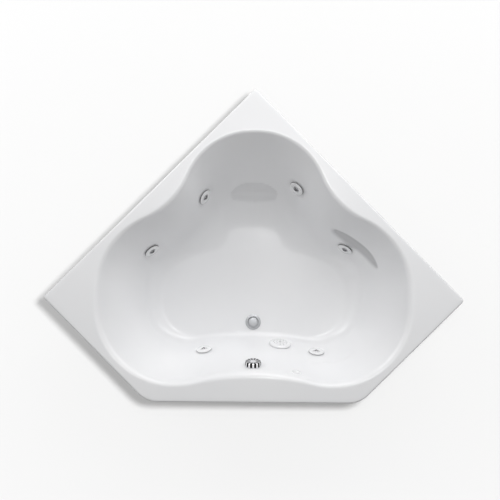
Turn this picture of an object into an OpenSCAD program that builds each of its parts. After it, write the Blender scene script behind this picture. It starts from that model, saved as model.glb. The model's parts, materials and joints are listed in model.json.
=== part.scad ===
// Corner jetted bath: a drop-in shell on a timber base, six aiming jets,
// a cable-worked waste with an overflow knob, a push button and the pump.
// +Y points to the room corner, +Z up, origin under the middle of the outline.

/* [Rim] */
// Length of each side that stands against a room wall
wall_side = 1372; // [1362:2:1420]
// Length of each short side between a wall side and the front
return_side = 675; // [670:1:720]
// Height of the deck above the ground
deck_h = 508; // [490:1:560]
// Depth of the turned-down outer lip
lip_drop = 44; // [36:1:60]
// Thickness of the moulded shell
shell_t = 8; // [7:0.5:10]
// Radius of the lip's upper edge
edge_r = 9; // [6:0.5:11]
// Radius of the room corner and the two side corners
corner_r = 14; // [12:1:24]
// Radius of the two front corners
front_corner_r = 130; // [90:5:160]

/* [Basin at the rim] */
// Centre of the head lobe in front of the room corner
head_y = 206; // [196:1:212]
// Radius of the head lobe
head_r = 320; // [305:1:328]
// Half width of the flat crown of the head lobe
head_half = 12; // [4:1:20]
// Sideways place of the shoulder lobes
lobe_x = 362; // [345:1:368]
// Backward end of the shoulder lobes' straight side
lobe_back_y = -202; // [-215:1:-190]
// Forward end of the shoulder lobes' straight side
lobe_front_y = -276; // [-290:1:-265]
// Radius of the shoulder lobes
lobe_r = 355; // [340:1:362]
// Radius of the neck between head and shoulder lobes
neck_r = 362; // [330:2:400]
// Radius of the front wall where it bows into the basin
bow_r = 942; // [900:10:1100]
// Radius of the roll from deck to wall
roll_r = 24; // [18:1:30]

/* [Basin at the floor] */
// Height of the basin floor above the ground
floor_z = 75; // [70:1:90]
// Centre of the head end of the floor
floor_head_y = 64; // [50:1:80]
// Corner radius at the head end of the floor
floor_head_r = 127; // [110:1:140]
// Half width of the straight head end of the floor
floor_head_half = 92; // [80:1:105]
// Sideways place of the floor's side corners
floor_lobe_x = 318; // [305:1:330]
// Backward end of the floor's straight side
floor_back_y = -222; // [-235:1:-210]
// Forward end of the floor's straight side
floor_front_y = -282; // [-290:1:-278]
// Corner radius of the floor's sides
floor_lobe_r = 205; // [190:1:215]
// Radius of the neck in the floor's outline
floor_neck_r = 400; // [350:10:460]
// Radius of the floor's front edge
floor_bow_r = 1805; // [1500:5:2400]
// Cove radius between floor and wall at the front
cove_front = 34; // [26:1:36]
// Cove radius between floor and wall at the head end
cove_back = 115; // [90:1:130]

/* [Backrests] */
// Depth of the neck rest pressed into the head wall
neck_rest_d = 14; // [6:1:18]
// Depth of the armrest pressed into the right shoulder wall
arm_rest_d = 20; // [8:1:24]

/* [Jets] */
// Bearing of the right front jet, seen from the middle of the basin
front_right_a = -50; // [-54:0.5:-48]
// Bearing of the left front jet
front_left_a = 236.5; // [234:0.5:240]
// Height of the front jets
jet_front_z = 200; // [190:1:225]
// Bearing of the right shoulder jet
side_right_a = 17.5; // [14:0.5:20]
// Bearing of the left shoulder jet
side_left_a = 166; // [162:0.5:168]
// Height of the right shoulder jet
side_right_z = 204; // [200:1:226]
// Height of the left shoulder jet
side_left_z = 236; // [208:1:240]
// Bearing of the right head jet
head_right_a = 64.5; // [60:0.5:65]
// Bearing of the left head jet
head_left_a = 122; // [119:0.5:124]
// Height of the head jets
jet_head_z = 284; // [270:1:295]
// Radius of the jets' turning trim ring
ring_r = 39; // [38:0.5:44]
// Radius of the ball nozzle
ball_r = 15; // [13:0.5:16]
// Radius of each nozzle opening
hole_r = 3; // [2:0.2:3.4]
// Openings in a nozzle
hole_n = 3; // [2:1:5]
// Radius of the threaded neck through the wall
neck_tube_r = 24; // [22:0.5:26]

/* [Waste and overflow] */
// Distance from the middle of the outline forward to the drain
drain_y = -388; // [-392:1:-380]
// Radius of the drain flange
drain_r = 39; // [34:0.5:41]
// Radius of the stopper cap
cap_r = 25; // [22:0.5:27]
// Travel of the stopper
stopper_lift = 8; // [6:0.5:10]
// Outer radius of the waste pipes
waste_r = 19.05; // [17:0.05:20]
// Height of the waste run
waste_z = 34; // [33:0.5:36]
// Depth of the overflow opening below the deck
overflow_drop = 70; // [68:1:98]
// Radius of the overflow knob
knob_r = 37; // [33:0.5:40]
// Depth of the overflow knob
knob_d = 20; // [16:0.5:26]
// Finger flutes round the knob
flute_n = 12; // [8:1:16]
// Radius of the lift cable's sheath
cable_r = 3.5; // [2.5:0.5:4.5]

/* [Suction] */
// Bearing of the suction fitting
suction_a = -68.5; // [-71:0.5:-67]
// Height of the suction fitting
suction_z = 163; // [160:1:175]
// Radius of the suction cover
cover_r = 54; // [48:1:56]
// Radius of the suction and discharge pipes
pipe_r = 23.8; // [20:0.1:25]

/* [Push button] */
// Bearing of the button
button_a = -65; // [-66:0.5:-62]
// Depth of the button below the deck
button_drop = 56; // [52:1:72]
// Radius of the button cap
button_r = 15; // [12:0.5:17]
// Travel of the button
button_travel = 4; // [2:0.5:5]

/* [Base] */
// Thickness of the base board
board_t = 18; // [15:1:19]
// Height of the timber rails
rail_h = 25; // [22:1:26]
// Width of the timber rails
rail_w = 44; // [38:1:48]
// Radius of a foot pad
foot_r = 28; // [22:1:34]
// Thickness of a foot pad
foot_t = 9; // [7:0.5:10]
// Radius of a foot stud
stud_r = 6; // [4:0.5:8]
// Thickness of a deck batten
batten_t = 18; // [12:1:22]
// Width of a deck batten
batten_w = 20; // [15:1:22]

/* [Pump] */
// Sideways place of the pump
pump_x = 700; // [695:1:706]
// Height of the pump shaft
pump_z = 137; // [135:1:142]
// Radius of the motor
motor_r = 70; // [62:1:71]
// Length of the motor
motor_l = 180; // [160:1:185]
// Radius of the pump casing
volute_r = 78; // [72:1:79]
// Depth of the pump casing
volute_l = 58; // [54:1:62]
// Radius of the shaft
shaft_r = 7; // [5:0.5:9]
// Vanes of the impeller
vane_n = 6; // [4:1:8]

/* [Hidden] */

$fn = 48;
// Radial clearance of a turning or sliding fit
run = 0.06;
// Gap between faces of pieces that move past each other
gap = 0.3;
// Gap round a piece that is only dropped into its place
slip = 0.2;

// The outline's own corners: room corner, side corner and front corner
side_x = wall_side / sqrt(2);
front_x = side_x - return_side / sqrt(2);
depth = side_x + return_side / sqrt(2);
// What the room corner's radius takes off the outline's length
nib = corner_r * (sqrt(2) - 1);
apex_y = (depth + nib) / 2;
side_y = apex_y - side_x;
front_y = apex_y - depth;
// Middle that all bearings are taken from
hub_y = -150;
wall_h = deck_h - floor_z;
underside_z = floor_z - shell_t;
rail_z = underside_z - board_t - rail_h;

function unit(v) = v / norm(v);
function flip(p) = [-p.x, p.y];
function arc(c, r, a0, a1, n) = [for (k = [0:n]) let(a = a0 + (a1 - a0) * k / n) c + r * [cos(a), sin(a)]];
function between(a, b, n) = [for (k = [1:n]) a + (b - a) * k / (n + 1)];
function reversed(l) = [for (k = [len(l) - 1:-1:0]) l[k]];

// Right half of the outer outline, from the room corner round to the front, drawn in by d
function half_outline(d) = let(
    q = sqrt(2) * corner_r,
    top = arc([0, apex_y - q], corner_r - d, 90, 45, 3),
    side = arc([side_x - q, side_y], corner_r - d, 45, -45, 4),
    c = [front_x - front_corner_r * tan(22.5), front_y + front_corner_r],
    front = arc(c, front_corner_r - d, -45, -90, 5),
    mid = [0, front_y + d])
    concat(top, between(top[3], side[0], 20), side, between(side[4], front[0], 9), front,
        between(front[5], mid, 7), [mid]);
function whole(h) = concat(h, [for (k = [len(h) - 2:-1:1]) flip(h[k])]);

// Right half of a three-lobed outline: head arc, neck, shoulder arcs and bowed front
function lobed(xa, ya, ra, xs, yb, yf, rs, rn, rf) = let(
    d = norm([xs - xa, yb - ya]),
    u = [xs - xa, yb - ya] / d,
    along = (pow(ra + rn, 2) - pow(rs + rn, 2) + d * d) / (2 * d),
    off = sqrt(pow(ra + rn, 2) - along * along),
    n = [xa, ya] + along * u + off * [-u.y, u.x],
    a1 = atan2(n.y - ya, n.x - xa),
    b1 = atan2(n.y - yb, n.x - xs),
    cf = yf - sqrt(pow(rs + rf, 2) - xs * xs),
    g = atan2(cf - yf, -xs))
    concat([[0, ya + ra]], arc([xa, ya], ra, 90, a1, 16), arc(n, rn, a1 + 180, b1 + 180, 16),
        arc([xs, yb], rs, b1, 0, 16), arc([xs, yf], rs, 0, g, 16),
        arc([0, cf], rf, g + 180, 90, 16));
function bearing_table(pts) = [for (p = pts) [atan2(p.y - hub_y, p.x), norm([p.x, p.y - hub_y])]];

rim_table = bearing_table(lobed(head_half, head_y, head_r, lobe_x, lobe_back_y, lobe_front_y,
    lobe_r, neck_r, bow_r));
floor_table = bearing_table(lobed(floor_head_half, floor_head_y, floor_head_r, floor_lobe_x,
    floor_back_y, floor_front_y, floor_lobe_r, floor_neck_r, floor_bow_r));
// Left and right are alike, so a bearing past the room corner is folded back
function fold(a) = a > 90 ? 180 - a : a < -90 ? -180 - a : a;
function rim_at(a) = lookup(fold(a), rim_table);
function floor_at(a) = lookup(fold(a), floor_table);
function reach(a, z) = rim_at(a) + (floor_at(a) - rim_at(a)) * (deck_h - z) / wall_h;
function ray(a, r, z) = [r * cos(a), hub_y + r * sin(a), z];

// Rests pressed into the wall: bearing, share of the depth, half widths of both, depth
rests = [[90, 0.72, 16, 0.14, neck_rest_d], [15, 0.48, 17, 0.14, arm_rest_d]];
function swell(t) = t >= 1 ? 0 : pow(1 - t, 2) * (1 + 2 * t);
function pressed(a, u) = let(each_rest = [for (q = rests)
    q[4] * swell(norm([(a - q[0]) / q[2], (u - q[1]) / q[3]]))]) each_rest[0] + each_rest[1];

// Section of the basin on one bearing: roll, straight wall and cove
roll_n = 4;
wall_n = 8;
cove_n = 4;
function section(a) = let(
    r = rim_at(a), f = floor_at(a), b = atan2(wall_h, r - f),
    c = cove_front + (cove_back - cove_front) * (1 + sin(fold(a))) / 2,
    t1 = roll_r * tan(b / 2), t2 = c * tan(b / 2),
    roll = arc([r + t1, deck_h - roll_r], roll_r, 90, 90 + b, roll_n),
    cove = arc([f - t2, floor_z + c], c, b - 90, -90, cove_n),
    top = roll[roll_n], low = cove[0],
    wall = [for (k = [1:wall_n - 1]) let(p = top + (low - top) * k / wall_n)
        p + [pressed(a, (deck_h - p.y) / wall_h), 0]])
    concat(roll, wall, cove);

// Points of the shell's upper skin, ring by ring from the lip to the floor
function lift(pts, z) = [for (p = pts) [p.x, p.y, z]];
rim_pts = whole(half_outline(0));
bearings = [for (p = rim_pts) let(a = atan2(p.y - hub_y, p.x)) a < -90.001 ? a + 360 : a];
sections = [for (a = bearings) section(a)];
basin_n = len(sections[0]);
cols = len(rim_pts);
skin = concat(
    [lift(rim_pts, deck_h - lip_drop), lift(rim_pts, deck_h - edge_r),
        lift(whole(half_outline(edge_r * (1 - cos(45)))), deck_h - edge_r * (1 - sin(45))),
        lift(whole(half_outline(edge_r)), deck_h)],
    [for (i = [0:basin_n - 1]) [for (j = [0:cols - 1]) let(q = sections[j][i]) ray(bearings[j], q.x, q.y)]],
    [[for (j = [0:cols - 1]) ray(bearings[j], sections[j][basin_n - 1].x * 0.5, floor_z)]]);
rows = len(skin);
// Direction from the upper skin into the material, from the four neighbours
function inward(i, j) = i == rows - 1 ? [0, 0, -1] : let(
    across = skin[i][(j + 1) % cols] - skin[i][(j + cols - 1) % cols],
    along = skin[i + 1][j] - skin[max(i - 1, 0)][j])
    unit(cross(across, along));
under = [for (i = [0:rows - 1]) [for (j = [0:cols - 1]) skin[i][j] + shell_t * inward(i, j)]];

// Place and frame of a fitting on the wall: spot is [bearing, height]
function wall_point(s) = ray(s[0], reach(s[0], s[1]), s[1]);
function wall_normal(s) = unit(cross(wall_point([s[0], s[1] + 1]) - wall_point([s[0], s[1] - 1]),
    wall_point([s[0] + 0.5, s[1]]) - wall_point([s[0] - 0.5, s[1]])));
function bed(s) = let(n = wall_normal(s))
    [unit([n.x * n.z, n.y * n.z, n.z * n.z - 1]), unit([-n.y, n.x, 0]), n];
function local(s, v) = let(m = bed(s)) wall_point(s) + v.x * m[0] + v.y * m[1] + v.z * m[2];
module on_wall(s) {
    n = wall_normal(s);
    translate(wall_point(s)) rotate([0, acos(n.z), atan2(n.y, n.x)]) children();
}

// How far a cutting tool runs past the face that it goes through
over = 1;
module rod(r, z0, z1) {
    translate([0, 0, z0]) cylinder(r = r, h = z1 - z0);
}
module washer(r, bore, z0, z1) {
    difference() {
        rod(r, z0, z1);
        rod(bore, z0 - over, z1 + over);
    }
}

// The wall is faced flat on both sides of a fitting: the two faces, and the room round what sits on them
seat_in = -1;
seat_out = -5;
flange_room = 1;
trim_room = 1.5;
trim_sink = 0.7;
nut_room = 5;
cut_l = 60;
nut_cut_l = 30;
module wall_cut(s, bore, flange, trim) {
    on_wall(s) {
        rod(bore, -cut_l / 2, cut_l / 2);
        rod(flange + flange_room, seat_in, cut_l);
        rod(trim + trim_room, ring_z - trim_sink, cut_l);
        rod(flange + nut_room, seat_out - nut_cut_l, seat_out);
    }
}

// Jets run from the right front round the head to the left front
jets = [[front_right_a, jet_front_z], [side_right_a, side_right_z], [head_right_a, jet_head_z],
    [head_left_a, jet_head_z], [side_left_a, side_left_z], [front_left_a, jet_front_z]];
overflow_at = [-90, deck_h - overflow_drop];
suction_at = [suction_a, suction_z];
button_at = [button_a, deck_h - button_drop];
drain_at = [0, drain_y, floor_z];

// Fittings on the wall: play in their bores, flange, turning ring, sleeve, seal, nut and body
bore_play = 0.8;
flange_t = 4;
jet_flange_r = ring_r - 6;
ring_z = seat_in + flange_t + gap;
ring_t = 8;
ball_z = 2;
sleeve_r = ball_r + 5;
sleeve_l = 13;
neck_l = 32;
gasket_t = 2.5;
nut_t = 10;
body_z = seat_out - gasket_t - nut_t;
body_l = 62;
suction_tube_r = pipe_r + slip + 5;
suction_flange_r = cover_r - 4;
collar_tube_r = 24;
collar_flange_r = knob_r - 3;
button_tube_r = button_r + run + 2.5;
button_flange_r = button_r + 8;
drain_tube_r = 21.5;

module shell_blank() {
    top_n = rows * cols;
    a = function(i, j) i * cols + j % cols;
    b = function(i, j) top_n + 1 + i * cols + j % cols;
    hub_top = top_n;
    hub_low = 2 * top_n + 1;
    quads = [for (i = [0:rows - 2], j = [0:cols - 1]) each [
        [a(i, j), a(i, j + 1), a(i + 1, j + 1)], [a(i, j), a(i + 1, j + 1), a(i + 1, j)],
        [b(i, j), b(i + 1, j + 1), b(i, j + 1)], [b(i, j), b(i + 1, j), b(i + 1, j + 1)]]];
    ends = [for (j = [0:cols - 1]) each [
        [a(rows - 1, j), a(rows - 1, j + 1), hub_top], [b(rows - 1, j + 1), b(rows - 1, j), hub_low],
        [a(0, j), b(0, j), b(0, j + 1)], [a(0, j), b(0, j + 1), a(0, j + 1)]]];
    points = concat([for (r = skin) each r], [[0, hub_y, floor_z]], [for (r = under) each r],
        [[0, hub_y, underside_z]]);
    polyhedron(points = points, faces = concat(quads, ends));
}
module tub_shell() {
    color("white") difference() {
        shell_blank();
        for (s = jets) wall_cut(s, neck_tube_r + bore_play, jet_flange_r, ring_r);
        wall_cut(overflow_at, collar_tube_r + bore_play, collar_flange_r, knob_r);
        wall_cut(suction_at, suction_tube_r + bore_play, suction_flange_r, cover_r);
        wall_cut(button_at, button_tube_r + bore_play, button_flange_r, button_flange_r);
        translate([0, drain_y, 0]) rod(drain_tube_r + bore_play, floor_z - cut_l / 2, floor_z + cut_l / 2);
    }
}

// Timber base: a board shaped like the floor, three rails under it, and the feet
shoe_r = 32;
socket_r = waste_r + 4.5;
rail_room = 4;
board_inset = 22;
shoe_room = 5;
stud_room = 3;
board_edge_step = 5;
rail_y = [drain_y + shoe_r + rail_room + rail_w / 2, floor_back_y + 92, floor_head_y + 56];
side_rail_x = floor_lobe_x + floor_lobe_r - 53;
pump_rail_x = pump_x + 100;
head_rail_x = floor_head_half + 98;
rail_x = [[-side_rail_x, pump_rail_x], [-side_rail_x, pump_rail_x], [-head_rail_x, head_rail_x]];
foot_inset = 40;
pump_foot_inset = 25;
foot_x = [-side_rail_x + foot_inset, side_rail_x - foot_inset, pump_rail_x - pump_foot_inset];
feet = concat([for (k = [0, 1], x = foot_x) [x, rail_y[k]]],
    [for (m = [-1, 1]) [m * (head_rail_x - foot_inset), rail_y[2]]]);
foot_nut_t = 7;
foot_nut_ratio = 1.85;
pad_rim = 3;
pad_step = 10;
stud_seat = 4;
stud_end = 2;
module bottom_board() {
    edge = [for (a = [-90:board_edge_step:269]) let(p = ray(a, floor_at(a) - board_inset, 0)) [p.x, p.y]];
    color("burlywood") difference() {
        translate([0, 0, underside_z - board_t]) linear_extrude(board_t - gap) polygon(edge);
        translate([0, drain_y, 0]) rod(shoe_r + shoe_room, 0, floor_z);
        translate([-socket_r - rail_room, front_y, 0])
            cube([2 * (socket_r + rail_room), drain_y - front_y, floor_z]);
        for (f = feet) translate([f.x, f.y, 0]) rod(stud_r + stud_room, 0, floor_z);
    }
}
module support_rails() {
    color("tan") difference() {
        for (k = [0:2]) translate([rail_x[k][0], rail_y[k] - rail_w / 2, rail_z])
            cube([rail_x[k][1] - rail_x[k][0], rail_w, rail_h]);
        for (f = feet) translate([f.x, f.y, 0]) rod(stud_r + slip, rail_z - over, rail_z + rail_h + over);
    }
}
batten_inset = shell_t + 2;
batten_room = 40;
module deck_batten(l) {
    translate([-l / 2, batten_inset, deck_h - shell_t - gap - batten_t]) cube([l, batten_w, batten_t]);
}
module deck_battens() {
    color("burlywood") {
        for (m = [0, 1]) mirror([m, 0, 0]) translate([side_x / 2, (apex_y + side_y) / 2, 0])
            rotate([0, 0, 135]) deck_batten(wall_side - 4 * corner_r - batten_room);
        translate([0, front_y, 0]) deck_batten(2 * (front_x - front_corner_r));
    }
}
module foot_pads() {
    color("dimgray") for (f = feet) translate([f.x, f.y, 0]) difference() {
        union() {
            cylinder(r1 = foot_r, r2 = foot_r - pad_rim, h = foot_t - pad_rim);
            cylinder(r = foot_r - pad_step, h = foot_t);
        }
        rod(stud_r, stud_seat, foot_t + over);
    }
}
module foot_studs() {
    top = rail_z + rail_h + stud_end;
    color("silver") for (f = feet) translate([f.x, f.y, 0]) rod(stud_r, stud_seat, top);
}
module foot_nuts() {
    color("silver") for (f = feet) translate([f.x, f.y, rail_z - foot_nut_t]) difference() {
        cylinder(r = stud_r * foot_nut_ratio, h = foot_nut_t, $fn = 6);
        rod(stud_r + slip, -over, foot_nut_t + over);
    }
}

// Rings that seal the wall fittings, the overflow and the drain from behind
module wall_gaskets() {
    back = seat_out - gasket_t;
    color("black") {
        for (s = jets) on_wall(s) washer(jet_flange_r, neck_tube_r + slip, back, seat_out);
        on_wall(suction_at) washer(suction_flange_r, suction_tube_r + slip, back, seat_out);
        on_wall(overflow_at) washer(collar_flange_r, collar_tube_r + slip, back, seat_out);
        translate([0, drain_y, 0]) washer(shoe_r, drain_tube_r + slip, underside_z - gasket_t, underside_z);
    }
}

// Waste: flange and stopper over the shoe, run to the tee, riser to the overflow
stem_r = 4;
hub_r = stem_r + 4;
waste_wall = 3;
// Drain flange: its edge as inset and height, land round the cap, tail and the spider in it
flange_h = 3.5;
flange_edge = [[0, 0], [0, 0.8], [3, 2.4]];
land_out = 6;
land_in = 3;
mouth_z = 0.5;
tail_l = 27;
tail_wall = 2;
spider_h = 6;
spider_w = 3;
spider_drop = tail_l - 1.5;
// Shoe under the drain: depth below the run, floor, socket for the pipe and boss for the cable
shoe_drop = 24;
shoe_wall = 6;
shoe_socket = 22;
shoe_stop = 2;
pipe_play = 2;
boss_r = cable_r + 4;
boss_x = 40;
// Tee and riser: half length, height, sockets, and how far the riser stands behind the wall
tee_half = 38;
tee_top = tee_half + 4;
tee_socket = 18;
riser_socket = 19;
riser_at = local(overflow_at, [0, 0, -30]);
slip_nut_l = 14;
outlet_free = 42;
outlet_neck_y = riser_at.y - tee_half - 2 * gap - slip_nut_l;
// Elbow behind the overflow: radius, depth, wall, end and the socket for the riser
elbow_r = 31;
elbow_l = 44;
elbow_wall = 3;
elbow_end = 4;
elbow_socket = 16.5;
riser_play = 0.5;
riser_top = riser_at.z - elbow_r - 6;

module toward_front(y) {
    translate([0, y, waste_z]) rotate([90, 0, 0]) children();
}
module drain_flange() {
    tail_r = drain_tube_r - tail_wall;
    profile = concat([[tail_r, -tail_l], [drain_tube_r, -tail_l], [drain_tube_r, 0]],
        [for (q = flange_edge) [drain_r - q.x, q.y]],
        [[cap_r + land_out, flange_h], [cap_r + land_in, flange_h], [tail_r, mouth_z]]);
    color("lightgray") translate(drain_at) difference() {
        union() {
            rotate_extrude() polygon(profile);
            rod(stem_r + spider_w, -spider_drop, spider_h - spider_drop);
            for (k = [0:2]) rotate([0, 0, 120 * k]) translate([stem_r + 1, -spider_w / 2, -spider_drop])
                cube([drain_tube_r - tail_wall / 2 - stem_r - 1, spider_w, spider_h]);
        }
        rod(stem_r + run, -spider_drop - over, spider_h - spider_drop + over);
    }
}
module drain_shoe() {
    low = waste_z - shoe_drop;
    out = shoe_r + shoe_socket;
    color("whitesmoke") difference() {
        union() {
            translate([0, drain_y, 0]) rod(shoe_r, low, underside_z - gasket_t);
            toward_front(drain_y) rod(socket_r, 0, out);
            translate([0, drain_y, waste_z]) rotate([0, 90, 0]) rod(boss_r, 0, boss_x);
        }
        translate([0, drain_y, 0]) rod(drain_tube_r + slip, low + shoe_wall, floor_z);
        toward_front(drain_y) rod(waste_r - waste_wall, 0, out + over);
        toward_front(drain_y) rod(waste_r + slip, shoe_r + shoe_stop, out + over);
    }
}
module pipe_length(y0, y1, r) {
    toward_front(y0) washer(r, waste_r - waste_wall, 0, y0 - y1);
}
module waste_pipe() {
    color("whitesmoke")
        pipe_length(drain_y - shoe_r - shoe_stop - pipe_play, riser_at.y + tee_half - tee_socket, waste_r);
}
module waste_outlet() {
    color("whitesmoke") {
        pipe_length(riser_at.y - tee_half + tee_socket, outlet_neck_y, waste_r - slip);
        pipe_length(outlet_neck_y, outlet_neck_y - outlet_free, waste_r);
    }
}
module waste_tee() {
    l = 2 * tee_half;
    color("whitesmoke") difference() {
        union() {
            toward_front(riser_at.y + tee_half) rod(socket_r, 0, l);
            translate([0, riser_at.y, waste_z]) rod(socket_r, 0, tee_top);
        }
        toward_front(riser_at.y + tee_half) rod(waste_r - waste_wall, -over, l + over);
        toward_front(riser_at.y + tee_half) rod(waste_r + slip, -over, tee_socket);
        toward_front(riser_at.y + tee_half) rod(waste_r + slip, l - tee_socket, l + over);
        translate([0, riser_at.y, waste_z]) rod(waste_r - waste_wall, 0, tee_top + over);
        translate([0, riser_at.y, waste_z]) rod(waste_r + slip, tee_top - riser_socket, tee_top + over);
    }
}
module slip_nut() {
    difference() {
        cylinder(r = socket_r + 3, h = slip_nut_l, $fn = 8);
        rod(waste_r + slip, -over, slip_nut_l + over);
    }
}
module slip_nuts() {
    color("white") {
        toward_front(riser_at.y + tee_half + slip_nut_l + gap) rotate([0, 0, 22.5]) slip_nut();
        toward_front(riser_at.y - tee_half - gap) rotate([0, 0, 22.5]) slip_nut();
        translate([0, riser_at.y, waste_z + tee_top + gap]) slip_nut();
    }
}
module overflow_pipe() {
    color("whitesmoke") translate([0, riser_at.y, 0]) washer(waste_r, waste_r - waste_wall,
        waste_z + tee_top - riser_socket + pipe_play, riser_top + elbow_socket - riser_play);
}
module overflow_elbow() {
    front = seat_out - gasket_t;
    color("whitesmoke") difference() {
        union() {
            on_wall(overflow_at) rod(elbow_r, front - elbow_l, front);
            translate([0, riser_at.y, 0]) rod(socket_r, riser_top, riser_at.z);
            translate([0, riser_at.y, riser_at.z]) rotate([0, 90, 0]) rod(boss_r, 0, boss_x);
        }
        on_wall(overflow_at) rod(elbow_r - elbow_wall, front - elbow_l + elbow_end, front + over);
        translate([0, riser_at.y, 0]) rod(waste_r - waste_wall, riser_top - over, riser_at.z);
        translate([0, riser_at.y, 0]) rod(waste_r + slip, riser_top - over, riser_top + elbow_socket);
    }
}

// Overflow collar in the wall with three spokes, the knob on it and the knob's spindle
collar_wall = 3;
collar_l = 14;
spoke_w = 4;
spoke_l = 8;
hub_l = 10;
knob_z = ring_z + 1;
knob_wall = 3.5;
knob_edge = 4;
knob_dish = 2;
knob_top = 5;
spindle_l = 42;
cam_r = 13;
cam_t = 5;
cam_z = 4 - spindle_l;
flute_r = 4;
module overflow_collar() {
    color("lightgray") on_wall(overflow_at) difference() {
        union() {
            washer(collar_flange_r, collar_tube_r - collar_wall, seat_in, seat_in + flange_t);
            washer(collar_tube_r, collar_tube_r - collar_wall, -collar_l, 0);
            rod(hub_r, -hub_l, 0);
            for (k = [0:2]) rotate([0, 0, 60 + 120 * k]) translate([stem_r, -spoke_w / 2, -hub_l])
                cube([collar_tube_r - stem_r - 1, spoke_w, spoke_l]);
        }
        rod(stem_r + run, -collar_l - over, flange_t);
    }
}
module overflow_knob() {
    inner = knob_r - knob_wall;
    profile = [[inner, 0], [knob_r, 0], [knob_r, knob_d - knob_edge],
        [knob_r - 0.3 * knob_edge, knob_d - 0.3 * knob_edge], [knob_r - knob_edge, knob_d],
        [0.55 * knob_r, knob_d - 0.4 * knob_dish], [0, knob_d - knob_dish], [0, knob_d - knob_top],
        [inner, knob_d - knob_top]];
    color("silver") on_wall(overflow_at) translate([0, 0, knob_z]) difference() {
        union() {
            rotate_extrude() polygon(profile);
            rod(hub_r, 0, knob_d - knob_top + 1);
        }
        rod(stem_r, -over, knob_d - knob_top - knob_dish);
        for (k = [0:flute_n - 1]) rotate([0, 0, 360 * (k + 0.5) / flute_n])
            translate([knob_r + flute_r / 2, 0, 0]) rod(flute_r, -over, knob_d - knob_top - knob_dish);
    }
}
module knob_spindle() {
    color("silver") on_wall(overflow_at) {
        rod(stem_r, -spindle_l, knob_z + knob_d - knob_top - knob_dish);
        washer(cam_r, stem_r, cam_z, cam_z + cam_t);
    }
}

// Cable that the knob pulls, in its sheath from the elbow down to the shoe
cable_bore_r = 1;
cable_turn = 24;
cable_bend = 20;
module lift_cable() {
    y = riser_at.y;
    turn_x = boss_x + cable_turn;
    path = [[boss_x, y, riser_at.z], [turn_x, y, riser_at.z], [turn_x, y, waste_z],
        [turn_x, drain_y, waste_z], [boss_x, drain_y, waste_z]];
    color("black") tube(bend(path, cable_bend, 5), cable_r, cable_bore_r, 8);
}

// Stopper, shown lifted: domed cap, seal under it and the stem down to the waste run
stopper_z = floor_z + flange_h + stopper_lift + gap;
cap_bevel = 1;
cap_edge = 2.6;
cap_dome = 3.4;
seal_t = 2.6;
seal_play = 2.5;
stem_low = 8;
module stopper_cap() {
    dome = [for (k = [1:8]) [cap_r * cos(11.25 * k), cap_edge + cap_dome * sin(11.25 * k)]];
    color("silver") translate([0, drain_y, stopper_z]) rotate_extrude()
        polygon(concat([[0, 0], [cap_r - cap_bevel, 0], [cap_r, cap_bevel], [cap_r, cap_edge]], dome));
}
module stopper_seal() {
    color("black") translate([0, drain_y, stopper_z]) washer(drain_tube_r - seal_play, stem_r, -seal_t, 0);
}
module stopper_stem() {
    color("silver") translate([0, drain_y, 0]) rod(stem_r, waste_z - stem_low + stopper_lift, stopper_z);
}

// Jets: fixed neck, nut and body, with a turning ring and an aiming ball
sleeve_stop = 1;
throat = 4;
body_r = neck_tube_r + 6;
body_wall = 3;
body_end = 5;
// Water passes through the body in a wide cross tube, and air in a thin one beside it
barb_r = 14;
barb_wall = 3;
barb_y = 58;
water_z = -50;
air_x = -25;
air_z = -72;
air_barb_r = 5;
air_bore_r = 3;
air_port_r = 1.5;
air_barb_y = barb_y - 12;
// Face of the trim ring, each point as inset and height, and the step round the ball
ring_face = [[0.5, 0], [0, 0.6], [0, 2], [1, 4], [3.5, 6], [8, 7.6], [14, ring_t]];
ball_rim = 4;
ball_step = 0.8;
// Flat front and back of the ball and the circle of its openings, as shares of its radius
ball_front = 0.62;
ball_back = 0.72;
hole_out = 0.4;
module jet_fittings() {
    color("white") for (s = jets) on_wall(s) difference() {
        union() {
            rod(jet_flange_r, seat_in, seat_in + flange_t);
            rod(neck_tube_r, -neck_l, 0);
        }
        rod(sleeve_r + run, -sleeve_l - sleeve_stop, flange_t);
        rod(sleeve_r - throat, -neck_l - over, 0);
    }
}
lug_w = 8;
lug_l = 7;
module lugged_nut(r, bore, n) {
    difference() {
        union() {
            rod(r - lug_w / 2, body_z, body_z + nut_t);
            for (k = [0:n - 1]) rotate([0, 0, 360 * (k + 0.5) / n]) translate([r - lug_l, -lug_w / 2, body_z])
                cube([lug_l, lug_w, nut_t]);
        }
        rod(bore, body_z - over, body_z + nut_t + over);
    }
}
module jet_nuts() {
    color("gainsboro") for (s = jets) on_wall(s) lugged_nut(jet_flange_r, neck_tube_r + slip, 6);
}
module across(x, z, r, half) {
    translate([x, half, z]) rotate([90, 0, 0]) cylinder(r = r, h = 2 * half);
}
module jet_bodies() {
    color("gainsboro") for (s = jets) on_wall(s) difference() {
        union() {
            rod(body_r, body_z - body_l, body_z);
            across(0, water_z, barb_r, barb_y);
            across(air_x, air_z, air_barb_r, air_barb_y);
        }
        rod(neck_tube_r + slip, -neck_l - over, 0);
        rod(neck_tube_r - body_wall, body_z - body_l + body_end, 0);
        across(0, water_z, barb_r - barb_wall, barb_y + over);
        across(air_x, air_z, air_bore_r, air_barb_y + over);
        translate([air_x, 0, air_z]) rotate([0, 90, 0]) rod(air_port_r, 0, -air_x);
    }
}
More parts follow.
